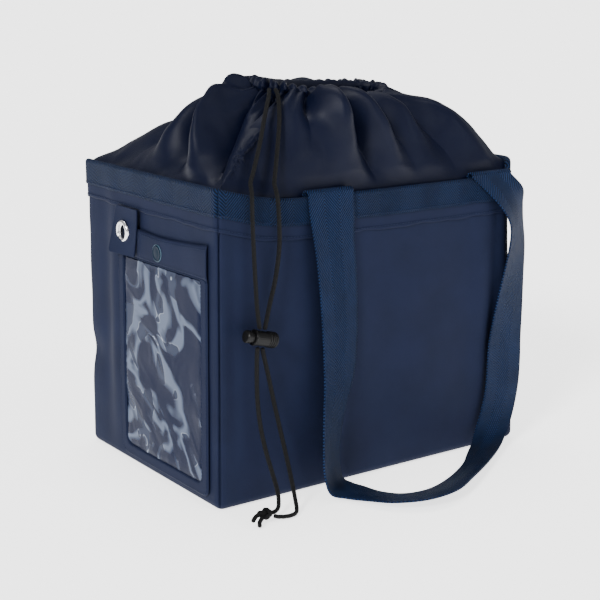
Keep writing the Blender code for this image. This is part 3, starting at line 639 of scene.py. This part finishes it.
def sag_at(x):
    along = np.clip((x + LENGTH / 2) / LENGTH, 0.0, 1.0)
    return RIM_SAG * np.sin(math.pi / 2 * np.minimum(1.0, along / 0.26)) * ease((1 - along) / 0.056)


def top_at(xy):
    share = ease((np.abs(xy[..., 1]) - (WIDTH / 2 - CORNER)) / CORNER)
    return RIM_TOP - share * sag_at(xy[..., 0])


def bell(value, centre, width):
    return np.exp(-(((value - centre) / width) ** 2))


def drape(points):
    """Moves points of the cloth box to where the soft walls really stand."""
    p = np.array(points, float)
    x, y, z = p[..., 0], p[..., 1], p[..., 2]
    t = np.clip(z / RIM_TOP, 0, 1)
    lift = np.sin(math.pi * t)
    left = ease((-x - 0.135) / 0.042)
    right = ease((x - 0.130) / 0.046)
    front = ease((-y - 0.085) / 0.038)
    rear = ease((y - 0.085) / 0.038)
    dx = left * (0.0030 * ease(t) - 0.0016 * lift * bell(y, 0.0, 0.05))
    dx += left * lift * (0.0022 * bell(y, 0.083, 0.012) - 0.0022 * bell(y, 0.063, 0.010))
    dx += left * 0.0035 * bell(z, 0.100, 0.016) * bell(y, 0.112, 0.022)
    dx += right * (-0.0062 * ease(t * 1.05) + 0.0020 * lift * np.sin(y * 55.0))
    dx -= right * 0.0035 * bell(z, 0.066, 0.012) * ease((0.05 - y) / 0.1)
    dy = front * (-0.0022 * lift * np.sin(math.pi * (x / LENGTH + 0.5)))
    dy += front * lift * (0.0034 * bell(x, 0.148, 0.010) - 0.0024 * bell(x, 0.128, 0.012))
    dy += front * lift * 0.0011 * np.sin(x * 48.0 + 0.6 + 3.0 * t)
    dy += front * 0.0016 * lift * bell(x, -0.162, 0.006)
    dy += rear * lift * 0.0022 * np.sin(math.pi * (x / LENGTH + 0.5))
    dy += rear * lift * 0.0012 * np.sin(x * 45.0 + 2.0 * t)
    return np.stack([x + dx, y + dy, z], axis=-1)


def seam_shift(grid):
    """The front-left seam: a deep narrow crease with a padded lip on each side of it."""
    spot = grid[..., 0] + LENGTH / 2 - grid[..., 1] - WIDTH / 2
    near = ease((-0.118 - grid[..., 1]) / 0.004) * ease((-0.172 - grid[..., 0]) / 0.004)
    lips = bell(spot, 0.0038, 0.0018) + bell(spot, -0.0038, 0.0018)
    depth = 0.0032 * bell(spot, 0.0, 0.0011) - 0.0009 * lips
    shift = np.zeros_like(grid)
    shift[..., :2] = (near * depth * 0.7071)[..., None]
    return shift


def plan_length():
    ring = outline(0.0, 0.15)
    step = np.linalg.norm(np.roll(ring, -1, axis=0) - ring, axis=1)
    return np.concatenate([[0], np.cumsum(step)])


PLAN_U = plan_length()


# ---------------------------------------------------------------- stitches

def stitches(name, runs, body="bag", radius=0.00042):
    """Short thread stitches along lines. Each run is (line, normals)."""
    ring = np.array([(math.cos(a), math.sin(a)) for a in np.linspace(0, 2 * math.pi, 6, endpoint=False)])
    profile = [(-0.5, 0.15), (-0.36, 0.8), (0.0, 1.0), (0.36, 0.8), (0.5, 0.15)]
    faces = []
    for k in range(len(profile) - 1):
        for i in range(6):
            j = (i + 1) % 6
            faces.append((k * 6 + i, k * 6 + j, (k + 1) * 6 + j, (k + 1) * 6 + i))
    faces.append(tuple(range(5, -1, -1)))
    faces.append(tuple(range(24, 30)))
    points = []
    lists = []
    for line, normals in runs:
        both = resample(np.concatenate([line, normals], axis=1), STITCH_PITCH)
        middle = (both[1:, :3] + both[:-1, :3]) / 2
        along = unit(both[1:, :3] - both[:-1, :3])
        out = unit((both[1:, 3:] + both[:-1, 3:]) / 2)
        side = np.cross(along, out)
        for m, a, o, s in zip(middle, along, out, side):
            body_points = [
                m + a * (share * STITCH_LENGTH) + (o * c[1] * 0.8 + s * c[0]) * (radius * width)
                for share, width in profile
                for c in ring
            ]
            points.append(np.array(body_points))
            lists.append(faces)
    place_piece(joined(name, points, lists, thread_cloth), body=body)


# ---------------------------------------------------------------- body

def at_height(plan, z):
    """Plan points at a height, which is one number or one for each point."""
    return np.concatenate([plan, np.broadcast_to(z, len(plan))[:, None]], axis=1)


def wall_grid(out, low, drop, rows):
    """Columns of wall points from a height up to that distance below the rim."""
    shares = np.linspace(0, 1, rows)
    top = top_at(outline(0.0)) - drop
    columns = []
    for share in shares:
        z = low + (top - low) * share
        ring = outline(out, float(np.mean(z)))
        columns.append(at_height(ring, z))
    return np.stack(columns, axis=1)


def make_shell():
    """The cloth box: bottom with rounded edges, soft walls, and the front-left seam pulled in."""
    walls = wall_grid(0.0, 0.0085, 0.0045, 76)
    base = outline(0.0, 0.0)
    rows = []
    floor = 0.0003
    for share in (0.0, 0.35, 0.65, 0.85):
        rows.append(at_height(base * share * (0.93, 0.9), floor))
    fold = 0.0075
    for turn in np.radians(np.linspace(-90, -6, 9)):
        ring = outline(fold * (math.cos(turn) - 1), 0.0)
        rows.append(at_height(ring, floor + fold * (1 + math.sin(turn))))
    grid = np.concatenate([np.stack(rows, axis=1), walls], axis=1)
    grid = grid + seam_shift(grid)
    grid = drape(grid)
    ripple = np.array([[noise.noise(Vector(p) * 26.0) for p in column] for column in grid])
    normals = grid_normals(grid, True)
    strength = ease((grid[..., 2] - 0.01) / 0.03) * 0.0007
    grid = grid + normals * (ripple * strength)[..., None]
    shell = grid_object("body_shell", grid, body_cloth, closed=True, uv=(PLAN_U, run_down(grid)))
    thicken(shell, 0.002, -1.0)
    panels = ["bottom_panel", "front_panel", "rear_panel", "left_side_panel", "right_side_panel"]
    seams = [f"corner_seam_{end}_{side}" for end in ("front", "rear") for side in ("left", "right")]
    place_piece(shell, panels + seams)


def rim_grid(profile, wobble=0.0):
    """Columns that follow an (outward, height above the rim) profile right round the rim."""
    top = top_at(outline(0.0))
    columns = []
    for out, rise in profile:
        ring = outline(out, RIM_TOP)
        columns.append(at_height(ring, top + rise))
    grid = np.stack(columns, axis=1)
    if wobble:
        wave = np.sin(PLAN_U[:-1] * 190.0) * 0.6 + np.sin(PLAN_U[:-1] * 83.0 + 1.0)
        depth = np.array([ease(-rise / WEBBING_DROP) for _, rise in profile])
        grid[..., 2] += wave[:, None] * depth[None] * wobble
    return drape(grid + seam_shift(grid) * 0.6)


def rim_piece(name, profile, wobble, material, thickness):
    grid = rim_grid(profile, wobble)
    piece = grid_object(name, grid, material, closed=True, uv=(PLAN_U, run_down(grid)))
    thicken(piece, thickness)
    return piece


def make_rim():
    """The webbing folded over the rim, the band below it, and a stitch line on each."""
    profile = [(0.00205, -WEBBING_DROP * k) for k in np.linspace(1.0, 0.14, 9)]
    for angle in np.linspace(0.1, math.pi - 0.1, 9):
        profile.append((-0.00045 + 0.0025 * math.cos(angle), 0.0025 * (math.sin(angle) - 1) - 0.00065))
    profile += [(-0.00295, -WEBBING_DROP * k) for k in np.linspace(0.14, 1.0, 7)]
    tape = rim_piece("rim_tape", profile, 0.00025, rim_cloth, 0.0013)
    sides = ("front", "rear", "left", "right")
    place_piece(tape, [f"rim_webbing_{side}" for side in sides])

    profile = [(0.0004, -BAND_DROP + 0.0004), (0.0010, -BAND_DROP), (0.0013, -BAND_DROP + 0.0010)]
    for k in np.linspace(0, 1, 10):
        profile.append((0.0009 + 0.0002 * math.sin(math.pi * k), -BAND_DROP + 0.0020 + 0.0300 * k))
    band = rim_piece("rim_band_cloth", profile, 0.0006, body_cloth, 0.0008)
    place_piece(band, ["rim_band"])

    runs = []
    for out, rise in ((0.0029, -WEBBING_DROP + 0.0022), (0.0017, -BAND_DROP + 0.0026)):
        grid = rim_grid([(out, rise), (out + 0.001, rise)])
        line = np.concatenate([grid[:, 0], grid[:1, 0]])
        normal = np.concatenate([grid[:, 1] - grid[:, 0], grid[:1, 1] - grid[:1, 0]]) * 1000
        runs.append((line, normal))
    stitches("rim_stitches", runs)


make_shell()
make_rim()


# ---------------------------------------------------------------- cover

def foot_stations(count):
    ring = outline(-COVER_FOOT, RIM_TOP)
    closed = np.concatenate([ring, ring[:1]])
    return resample(closed, line_length(closed) / count)[:-1]


def mouth_at(angle, long_radius, short_radius):
    x = long_radius * np.cos(angle)
    y = short_radius * np.sin(angle)
    c, s = math.cos(MOUTH_TURN), math.sin(MOUTH_TURN)
    return np.stack([MOUTH_CENTRE[0] + c * x - s * y, MOUTH_CENTRE[1] + s * x + c * y], axis=-1)


# (angle at the mouth, angle at the rim, height, width at the mouth, width at the rim, middle, reach)
FOLDS = [
    (176, 216, 0.0150, 5, 7, 0.60, 0.46),
    (166, 200, -0.0130, 6, 9, 0.58, 0.42),
    (158, 182, 0.0080, 6, 10, 0.60, 0.40),
    (148, 158, -0.0090, 6, 9, 0.62, 0.34),
    (196, 223, -0.0120, 4, 4, 0.50, 0.44),
    (217, 235, -0.0090, 8, 10, 0.60, 0.55),
    (236, 246, 0.0050, 5, 6, 0.55, 0.40),
    (244, 246, -0.0060, 5, 7, 0.70, 0.30),
    (254, 262, 0.0120, 5, 7, 0.60, 0.45),
    (262, 271, -0.0120, 4, 4, 0.58, 0.44),
    (270, 281, 0.0110, 4, 5, 0.58, 0.46),
    (282, 287, -0.0120, 7, 6, 0.66, 0.36),
    (296, 293, 0.0080, 6, 5, 0.60, 0.38),
    (308, 301, -0.0060, 5, 5, 0.55, 0.38),
    (320, 309, 0.0080, 5, 6, 0.58, 0.40),
    (332, 320, -0.0060, 6, 7, 0.55, 0.40),
    (344, 333, 0.0070, 6, 8, 0.55, 0.38),
    (358, 348, -0.0080, 7, 8, 0.55, 0.42),
    (14, 8, 0.0080, 7, 8, 0.60, 0.40),
    (28, 26, -0.0090, 7, 8, 0.58, 0.42),
    (44, 44, 0.0090, 7, 8, 0.60, 0.40),
    (60, 63, -0.0100, 7, 8, 0.58, 0.42),
    (78, 82, 0.0100, 7, 8, 0.60, 0.40),
    (96, 100, -0.0100, 7, 7, 0.58, 0.42),
    (113, 118, 0.0100, 7, 8, 0.60, 0.38),
    (131, 137, -0.0090, 6, 8, 0.58, 0.38),
]


def turn_gap(a, b):
    return (a - b + 180.0) % 360.0 - 180.0


def hem_top(angle):
    """Height of the gathered lip: highest at the cord's exit, lowest in front."""
    return 0.3641 - 0.00675 * np.cos(angle) + 0.0045 * np.sin(angle) + 0.0026 * np.cos(2 * angle)


def hem_height(angle):
    return 0.0125 + 0.0050 * np.sin(angle) - 0.0020 * np.cos(angle)


def pleats(degrees):
    """Irregular pleats: strongest at the cord's exit and at the middle of the front."""
    a = np.radians(degrees)
    wander = 1.6 * np.sin(3 * a + 0.4) + 0.9 * np.sin(7 * a + 1.9)
    wave = 0.6 * np.sin(33 * a + wander) + 0.4 * np.sin(51 * a + 2.2 - 1.5 * wander)
    near_exit = np.exp(-((turn_gap(degrees, 200.0) / 30.0) ** 2))
    near_front = np.exp(-((turn_gap(degrees, 268.0) / 22.0) ** 2))
    return wave * (0.45 + 0.75 * near_exit + 0.65 * near_front + 0.25 * np.sin(2 * a + 1.0))


def make_room(grid):
    """Presses the cloth down where the two cord strands lie on it."""
    moved = grid.copy()
    for name in ("cord_upper_left", "cord_upper_right"):
        line = smooth_line(STRAND_ROUTES[name], 0.003)
        line = line[line[:, 2] > 0.283]
        gaps = np.hypot(
            moved[:, :, None, 0] - line[None, None, :, 0], moved[:, :, None, 1] - line[None, None, :, 1]
        )
        near = gaps.argmin(axis=2)
        gap = gaps.min(axis=2)
        ceiling = line[near, 2] - CORD_PRESS + 0.30 * np.maximum(gap - 0.002, 0)
        share = ease((0.034 - gap) / 0.028)
        moved[..., 2] += share * np.minimum(ceiling - moved[..., 2], 0)
    return moved


def cover_grid(columns, levels):
    """The cover from inside the rim up to the mouth, with its folds and pleats."""
    foot = foot_stations(columns)
    world = np.arctan2(foot[:, 1] * LENGTH / WIDTH, foot[:, 0])
    angle = world - MOUTH_TURN
    goal = mouth_at(angle, MOUTH_LONG + 0.005, MOUTH_SHORT + 0.005)
    degrees = np.degrees(world)
    start_z = top_at(foot) - 0.004
    lip_z = hem_top(angle) - 0.5 * hem_height(angle)
    t = np.linspace(0, 1, levels)
    plan = foot[:, None] + (goal - foot)[:, None] * t[None, :, None]
    ends = (np.cos(world) ** 2)[:, None]
    left = np.exp(-((turn_gap(degrees, 165.0) / 45.0) ** 2))[:, None]
    curve = 0.50 - 0.42 * ends + 0.22 * left
    rise = np.sin(math.pi / 2 * t)[None] * curve + t[None] * (1 - curve)
    z = start_z[:, None] + (lip_z - start_z)[:, None] * rise
    z = z + (0.012 - 0.014 * ends + 0.007 * left) * np.sin(math.pi * t ** 0.9)[None]
    grid = np.concatenate([plan, z[..., None]], axis=2)
    normals = grid_normals(grid, True)
    height = np.zeros(grid.shape[:2])
    for mouth, rim, size, narrow, wide, middle, reach in FOLDS:
        centre = rim + turn_gap(mouth, rim) * t
        width = wide + (narrow - wide) * t
        gap = turn_gap(degrees[:, None], centre[None]) / width[None]
        shape = 1 / (1 + np.abs(gap) ** 2.4) if size > 0 else np.exp(-np.abs(gap) ** 1.25)
        height += FOLD_STRENGTH * size * shape * bell(t, middle, reach)[None]
    pleat = pleats(degrees)[:, None]
    height += pleat * (0.0032 * ease((t - 0.45) / 0.55))[None]
    height += np.sin(np.radians(degrees) * 13)[:, None] * (0.0016 * np.sin(math.pi * t))[None]
    height *= ease(t / 0.12)[None]
    grid = make_room(grid + normals * height[..., None])
    below = np.stack([at_height(foot, level) for level in COVER_LEVELS], axis=1)
    return np.concatenate([below, grid], axis=1), degrees, pleat


def make_hem(grid, degrees, ruffle, u):
    """The bunched hem round the mouth, from the cover's top edge over to its inner side."""
    angle = np.radians(degrees) - MOUTH_TURN
    ring = mouth_at(angle, MOUTH_LONG, MOUTH_SHORT)
    ahead = mouth_at(angle + 0.01, MOUTH_LONG, MOUTH_SHORT) - ring
    out = unit(np.stack([ahead[:, 1], -ahead[:, 0]], axis=1))
    half = 0.5 * hem_height(angle)
    middle = hem_top(angle) - half
    rows = []
    for turn in np.linspace(0, math.pi, 17):
        reach = HEM_REACH * math.cos(turn) + HEM_PLEAT * ruffle * math.cos(turn * 0.5)
        z = middle + (half + 0.0026 * ruffle) * math.sin(turn)
        rows.append(at_height(ring + out * reach[:, None], z))
    for share in np.linspace(0.15, 1.0, 8):
        reach = 0.0030 * ruffle - HEM_REACH + 0.0030 * share
        z = middle - (half + 0.006) * share
        rows.append(at_height(ring + out * reach[:, None], z))
    hem_grid = np.stack(rows, axis=1)
    hem_grid[:, 0] = grid[:, -1]
    hem = grid_object("cover_hem", hem_grid, cover_cloth, closed=True, uv=(u, np.linspace(0, 0.044, 26)))
    thicken(hem, COVER_CLOTH, even=False)
    place_piece(hem, ["channel_hem_front", "channel_hem_rear"])
    return hem


def make_hem_cord():
    """The drawcord inside the hem, open at the side where its two ends come out."""
    gap = 0.10
    exit_turn = math.radians(188)
    angles = np.linspace(exit_turn + gap, exit_turn + 2 * math.pi - gap, 400)
    plan = mouth_at(angles, MOUTH_LONG, MOUTH_SHORT)
    line = at_height(plan, hem_top(angles) - 0.5 * hem_height(angles))
    cord = braid_tube("hem_cord", resample(line, 0.0008), CORD_RADIUS, cord_cloth, sides=12)
    place_piece(cord, ["channel_cord"])
    return cord


def make_cover():
    grid, degrees, pleat = cover_grid(720, 80)
    crumple = np.array([[noise.fractal(Vector(p) * 16.0, 0.9, 2.0, 3) for p in column] for column in grid])
    share = ease((grid[..., 2] - 0.272) / 0.02)
    grid = grid + grid_normals(grid, True) * (crumple * 0.0030 * share)[..., None]
    u = run_along(np.concatenate([grid[:, 0], grid[:1, 0]]))
    cover = grid_object("gathered_cover", grid, cover_cloth, closed=True, uv=(u, run_down(grid)))
    thicken(cover, COVER_CLOTH, even=False)
    panels = ("front_left", "front_right", "rear_left", "rear_right", "left", "right")
    place_piece(cover, [f"cover_{panel}" for panel in panels])
    hem = make_hem(grid, degrees, pleat[:, 0], u)
    cord = make_hem_cord()


make_cover()


# ---------------------------------------------------------------- handles

def strap_rows():
    """Pairs of edge points down the left leg, round the loop on the floor, and up the right leg."""
    half = STRAP_WIDTH / 2
    left = (LEFT_ROOT_X - half, LEFT_ROOT_X + half)
    right = (RIGHT_ROOT_X + half, RIGHT_ROOT_X - half)
    root = (-HINGE_Y, HINGE_Z)
    above = (-HINGE_Y + 0.0007, HINGE_Z + 0.0025)
    first = [[(x, *spot) for x in left] for spot in (above, root)]
    last = [[(x, *spot) for x in right] for spot in (root, above)]
    return curve_through(np.array([*first, *STRAP_EDGES, *last], float), STRAP_CURVE_STEPS, 1.0)


def strap_ribbon():
    """The front strap as a grid of (along, across) points, its places across, and its run along."""
    edges = strap_rows()
    across = np.linspace(0, 1, 17)
    ribbon = edges[:, 0, None] + (edges[:, 1] - edges[:, 0])[:, None] * across[None, :, None]
    run = run_along((edges[:, 0] + edges[:, 1]) / 2)
    ripple = 0.0004 * np.sin(run * 70)[:, None] * np.sin(math.pi * across)[None]
    share = ease((run - 0.02) / 0.05)[:, None]
    return ribbon + grid_normals(ribbon, False) * (ripple * share)[..., None], across, run


def make_strap_end(side, mirror, label, root_x):
    """The end sewn inside the rim, which comes over the top to where the strap hangs."""
    inside = -0.00035 - STRAP_FOLD
    profile = [(inside, HINGE_Z - STRAP_END + 0.0007 * k) for k in (0, 1)]
    profile += [(inside, HINGE_Z - STRAP_END * k) for k in np.linspace(0.96, 0.05, 12)]
    for angle in np.linspace(math.pi, 0.42, 12):
        out = -0.00035 + STRAP_FOLD * math.cos(angle)
        profile.append((out, HINGE_Z + STRAP_FOLD * math.sin(angle)))
    widths = np.linspace(root_x - STRAP_WIDTH / 2, root_x + STRAP_WIDTH / 2, 9)
    grid = np.array([[(w, mirror * -(WIDTH / 2 + out), z) for w in widths] for out, z in profile])
    flap = grid_object(
        f"{side}_strap_end_{label}", grid.transpose(1, 0, 2), webbing_cloth,
        uv=(np.linspace(0, STRAP_WIDTH, 9), run_along(grid[:, 4])),
    )
    thicken(flap, STRAP)
    place_piece(flap, [f"handle_anchor_{side}_{label}"])


def make_handles():
    ribbon, across, run = strap_ribbon()
    for side, mirror in (("front", 1), ("rear", -1)):
        grid = ribbon * np.array((1, mirror, 1))
        if mirror < 0:
            grid = grid[::-1]
        strap = grid_object(
            f"{side}_strap", grid.transpose(1, 0, 2), webbing_cloth, uv=(across * STRAP_WIDTH, run)
        )
        thicken(strap, STRAP)
        handle = f"{side}_handle"
        place_piece(strap, [handle], body=None)
        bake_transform(strap)
        for label, root_x in (("left", LEFT_ROOT_X), ("right", RIGHT_ROOT_X)):
            make_strap_end(side, mirror, label, root_x)


make_handles()


# ---------------------------------------------------------------- pocket on the left end

def left_wall(y, z, out):
    """A point on the draped left wall, that far in front of it."""
    y, z = np.asarray(y, float), np.asarray(z, float)
    flat = np.stack(np.broadcast_arrays(np.full(y.shape, WALL_X), y, z), axis=-1)
    moved = drape(flat)
    moved[..., 0] -= out
    return moved


def rounded_rect(y0, y1, z0, z1, radii):
    """Corners in turn: high y low z, high y high z, low y high z, low y low z."""
    steps = 8
    corners = ((y1, z0, -90), (y1, z1, 0), (y0, z1, 90), (y0, z0, 180))
    points = []
    for (cy, cz, start), radius in zip(corners, radii):
        my = cy - radius if cy == y1 else cy + radius
        mz = cz - radius if cz == z1 else cz + radius
        for i in range(steps + 1):
            a = math.radians(start + 90 * i / steps)
            points.append((my + radius * math.cos(a), mz + radius * math.sin(a)))
    return np.array([*points, points[0]])


def even_loop(line, count):
    return resample(line, line_length(line) / count)[:-1]


def pocket_lines():
    """The outer and inner edge of the pocket's frame, point for point."""
    outer = even_loop(rounded_rect(*POCKET_OUTER, (0.010, 0.002, 0.002, 0.008)), 240)
    dense = even_loop(rounded_rect(*POCKET_INNER, (0.0095, 0.0020, 0.0020, 0.0075)), 2400)
    inner = np.array([dense[np.argmin(((dense - p) ** 2).sum(axis=1))] for p in outer])
    return outer, inner


def make_frame(outer, inner):
    rows = []
    for share in np.linspace(0, 1, 11):
        plan = outer + (inner - outer) * share
        hump = 0.0011 * (1 - (2 * share - 1) ** 6) + 0.0016
        rows.append(left_wall(plan[:, 0], plan[:, 1], hump))
    piece = grid_object("pocket_frame_cloth", np.stack(rows, axis=1), body_cloth, closed=True)
    thicken(piece, 0.0009)
    place_piece(piece, ["pocket_frame"])


def make_window():
    """The clear film, which ripples between its sewn edges."""
    y0, y1, z0, z1 = WINDOW_YZ
    yy, zz = np.meshgrid(np.linspace(y0, y1, 190), np.linspace(z0, z1, 240), indexing="ij")
    waves = np.zeros_like(yy)
    aside = Vector((5, 2, 0))
    for place in np.ndindex(yy.shape):
        y, z = yy[place], zz[place]
        spot = Vector((y * 15 + 0.7 * math.sin(z * 30), z * 22 + 6 * y, 3.1))
        waves[place] = noise.noise(spot) - 1.1 * abs(noise.noise(spot * 0.8 + aside))
    waves = (waves - waves.mean()) / (waves.max() - waves.min())
    edge = ease((yy - y0) / 0.010) * ease((y1 - yy) / 0.010)
    edge *= ease((zz - z0) / 0.012) * ease((z1 - zz) / 0.010)
    grid = left_wall(yy, zz, 0.0013 + edge * (0.0006 + 0.0024 * waves))
    window = grid_object("window_film", grid[::-1], vinyl)
    thicken(window, 0.0003)
    place_piece(window, ["clear_window"])


def make_header():
    """The band above the window, in two parts: its near part, and a short part beside the tab that is sewn
    down.
    """
    ys = np.linspace(POCKET_OUTER[0], POCKET_OUTER[1], 120)
    crown = HEADER_CROWN + 0.0052 * (np.abs(ys + 0.030) / 0.08) ** 1.6
    rows = []
    for share in np.linspace(0, 1, 15):
        z = HEADER_LOW + (crown - HEADER_LOW) * share
        puff = 0.0021 + 0.0012 * (1 - abs(2 * share - 1) ** 6)
        rows.append(left_wall(ys, z, puff + 0.0004 * np.sin(ys * 120) * share))
    grid = np.stack(rows, axis=1)
    split = int(np.argmin(np.abs(ys - HEADER_SPLIT_Y)))
    flap = grid_object("header_flap", grid[: split + 1][::-1], body_cloth)
    thicken(flap, 0.0011)
    place_piece(flap, ["pocket_header"], body=None)
    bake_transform(flap)
    beside = grid_object("header_side", grid[split:][::-1], body_cloth)
    thicken(beside, 0.0011)
    place_piece(beside)
    return ys[: split + 1], crown[: split + 1]


def make_pocket():
    outer, inner = pocket_lines()
    make_frame(outer, inner)
    make_window()
    ys, crown = make_header()
    toward = (-1.0, 0.0, 0.0)
    runs = []
    for share in (0.14, 0.86):
        plan = outer + (inner - outer) * share
        line = left_wall(plan[:, 0], plan[:, 1], 0.0032)
        line = np.concatenate([line, line[:1]])
        runs.append((line, np.tile(toward, (len(line), 1))))
    stitches("pocket_stitches", runs, radius=0.00034)
    runs = []
    for share in (0.10, 0.88):
        line = left_wall(ys, HEADER_LOW + (crown - HEADER_LOW) * share, 0.0040)
        runs.append((line, np.tile(toward, (len(line), 1))))
    stitches("header_stitches", runs, "pocket_header", radius=0.00034)


def turned(name, profile, centre, material):
    """A turned piece whose axis points out of the left wall, from (outward, radius) points."""
    x, y, z = centre
    grid = np.array(
        [
            [(x - out, y + r * math.cos(a), z + r * math.sin(a)) for out, r in profile]
            for a in np.linspace(0, 2 * math.pi, 48, endpoint=False)
        ]
    )
    return grid_object(name, grid[::-1], material, closed=True)


def make_snap():
    """The painted snap cap, and a ring round its edge whose lighter colour is a painted highlight."""
    spot = left_wall(*SNAP, 0.0036)
    cap = turned(
        "snap_cap_cover",
        [(-0.0006, 0.0074), (0.0004, 0.0076), (0.0011, 0.0073), (0.0015, 0.0068), (0.0014, 0.0062),
         (0.0011, 0.0056), (0.0012, 0.0045), (0.0014, 0.0025), (0.0015, 0.0010), (0.0015, 0.00001)],
        spot, enamel,
    )
    place_piece(cap, ["snap_cap"], "pocket_header")
    # The rim ring carries the painted highlight along the cap's edge.
    rim = turned(
        "snap_rim",
        [(-0.0004, 0.0080), (0.0006, 0.0080), (0.0009, 0.0078), (0.0006, 0.0075), (-0.0004, 0.0074)],
        spot, snap_rim_highlight,
    )
    place_piece(rim, body="pocket_header")


def tab_face(y, z):
    """A point on the tab, which stands out further towards its lower end."""
    share = (TAB_YZ[3] - z) / (TAB_YZ[3] - TAB_YZ[2])
    middle = (TAB_YZ[0] + TAB_YZ[1]) / 2
    lean = (y - middle) / (TAB_YZ[1] - middle)
    return left_wall(y, z, 0.0042 + 0.0060 * share ** 1.4 + 0.0030 * share * lean)


def make_tab():
    """The stiff folded cloth tab, with a hole, and the eyelet's ring round it."""
    edge = even_loop(rounded_rect(*TAB_YZ, (0.004, 0.003, 0.0008, 0.0008)), 144)
    centre = np.array(EYELET)
    bearing = np.arctan2(edge[:, 1] - centre[1], edge[:, 0] - centre[0])
    hole = centre + 0.0080 * np.stack([np.cos(bearing), np.sin(bearing)], axis=1)
    rows = []
    for share in np.linspace(0, 1, 22):
        plan = hole + (edge - hole) * share
        rows.append(tab_face(plan[:, 0], plan[:, 1]))
    tab = grid_object("eyelet_tab_cloth", np.stack(rows, axis=1), body_cloth, closed=True)
    thicken(tab, 0.0018)
    place_piece(tab, ["eyelet_tab"], body=None)
    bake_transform(tab)
    ring = turned(
        "eyelet_ring",
        [(-0.0016, 0.0076), (0.0004, 0.0075), (0.0013, 0.0078), (0.0018, 0.0084), (0.0017, 0.0092),
         (0.0011, 0.0101), (0.0004, 0.0106), (-0.0002, 0.0107)],
        left_wall(*EYELET, 0.0072), silver,
    )
    thicken(ring, 0.0004)
    place_piece(ring, ["eyelet_front"], "eyelet_tab")


make_pocket()
make_snap()
make_tab()


# ---------------------------------------------------------------- cord lock and carried-over nodes

def make_lock_ribs():
    """Moulded ribs round the closed half of the barrel, and a collar at its open end."""
    turn = Matrix.Rotation(LOCK_TILT, 3, "Y")
    sides = 40
    faces = []
    for i in range(sides):
        j = (i + 1) % sides
        for k in range(4):
            m = (k + 1) % 4
            faces.append((i * 4 + k, i * 4 + m, j * 4 + m, j * 4 + k))
    ribs = [(x, 0.0007, 0.0005) for x in (0.0068, 0.0088, 0.0108, 0.0128)]
    collar = (-0.0080, 0.0010, 0.0004)
    rings = []
    for x, width, height in (*ribs, collar):
        foot = BARREL_RADIUS - 0.0001
        top = BARREL_RADIUS + height
        profile = ((-width, foot), (-width * 0.6, top), (width * 0.6, top), (width, foot))
        points = []
        for i in range(sides):
            a = 2 * math.pi * i / sides
            for dx, r in profile:
                spot = Vector((x + dx, r * math.cos(a), r * math.sin(a)))
                points.append(tuple(LOCK_CENTRE + turn @ spot))
        rings.append(np.array(points))
    piece = joined("lock_ribs", rings, [faces] * len(rings), black_plastic)
    place_piece(piece, body="cord_lock")


make_lock_ribs()

for node, material in (
    ("cord_lock", black_plastic), ("lock_button", black_plastic), ("lock_spring", steel),
    ("base_board", board), ("snap_stud", enamel), ("eyelet_washer", silver),
):
    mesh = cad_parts[node].data
    mesh.materials.clear()
    mesh.materials.append(material)


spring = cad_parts["lock_spring"]
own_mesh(spring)


# ---------------------------------------------------------------- floor and light

def make_stage():
    mesh = bpy.data.meshes.new("floor")
    size = 60.0
    corners = [(-size, -size, 0), (size, -size, 0), (size, size, 0), (-size, size, 0)]
    mesh.from_pydata(corners, [], [(0, 1, 2, 3)])
    n = Nodes("floor_paper")
    material = n.finish(
        (0.90, 0.90, 0.90, 1.0), 0.9, Specular_IOR_Level=0.1,
        Emission_Color=(1.0, 1.0, 1.0, 1.0), Emission_Strength=2.0,
    )
    floor = new_object("floor", mesh, material, smooth=False)
    floor.location.z = -0.0002
    world = bpy.data.worlds.new("studio")
    bpy.context.scene.world = world
    world.use_nodes = True
    world.node_tree.nodes["Background"].inputs["Color"].default_value = (1.0, 1.0, 1.0, 1.0)
    world.node_tree.nodes["Background"].inputs["Strength"].default_value = 0.45
    for name, toward, angle, strength in (
        ("key", (0.80, 0.38, -0.55), 14, 3.5),
        ("fill", (-0.25, 0.80, -0.45), 40, 0.8),
        ("top", (-0.10, -0.25, -1.0), 34, 1.6),
    ):
        data = bpy.data.lights.new(name, "SUN")
        data.energy = strength
        data.angle = math.radians(angle)
        light = bpy.data.objects.new(name, data)
        light.rotation_euler = Vector(toward).to_track_quat("-Z", "Y").to_euler()
        bpy.context.scene.collection.objects.link(light)


make_stage()
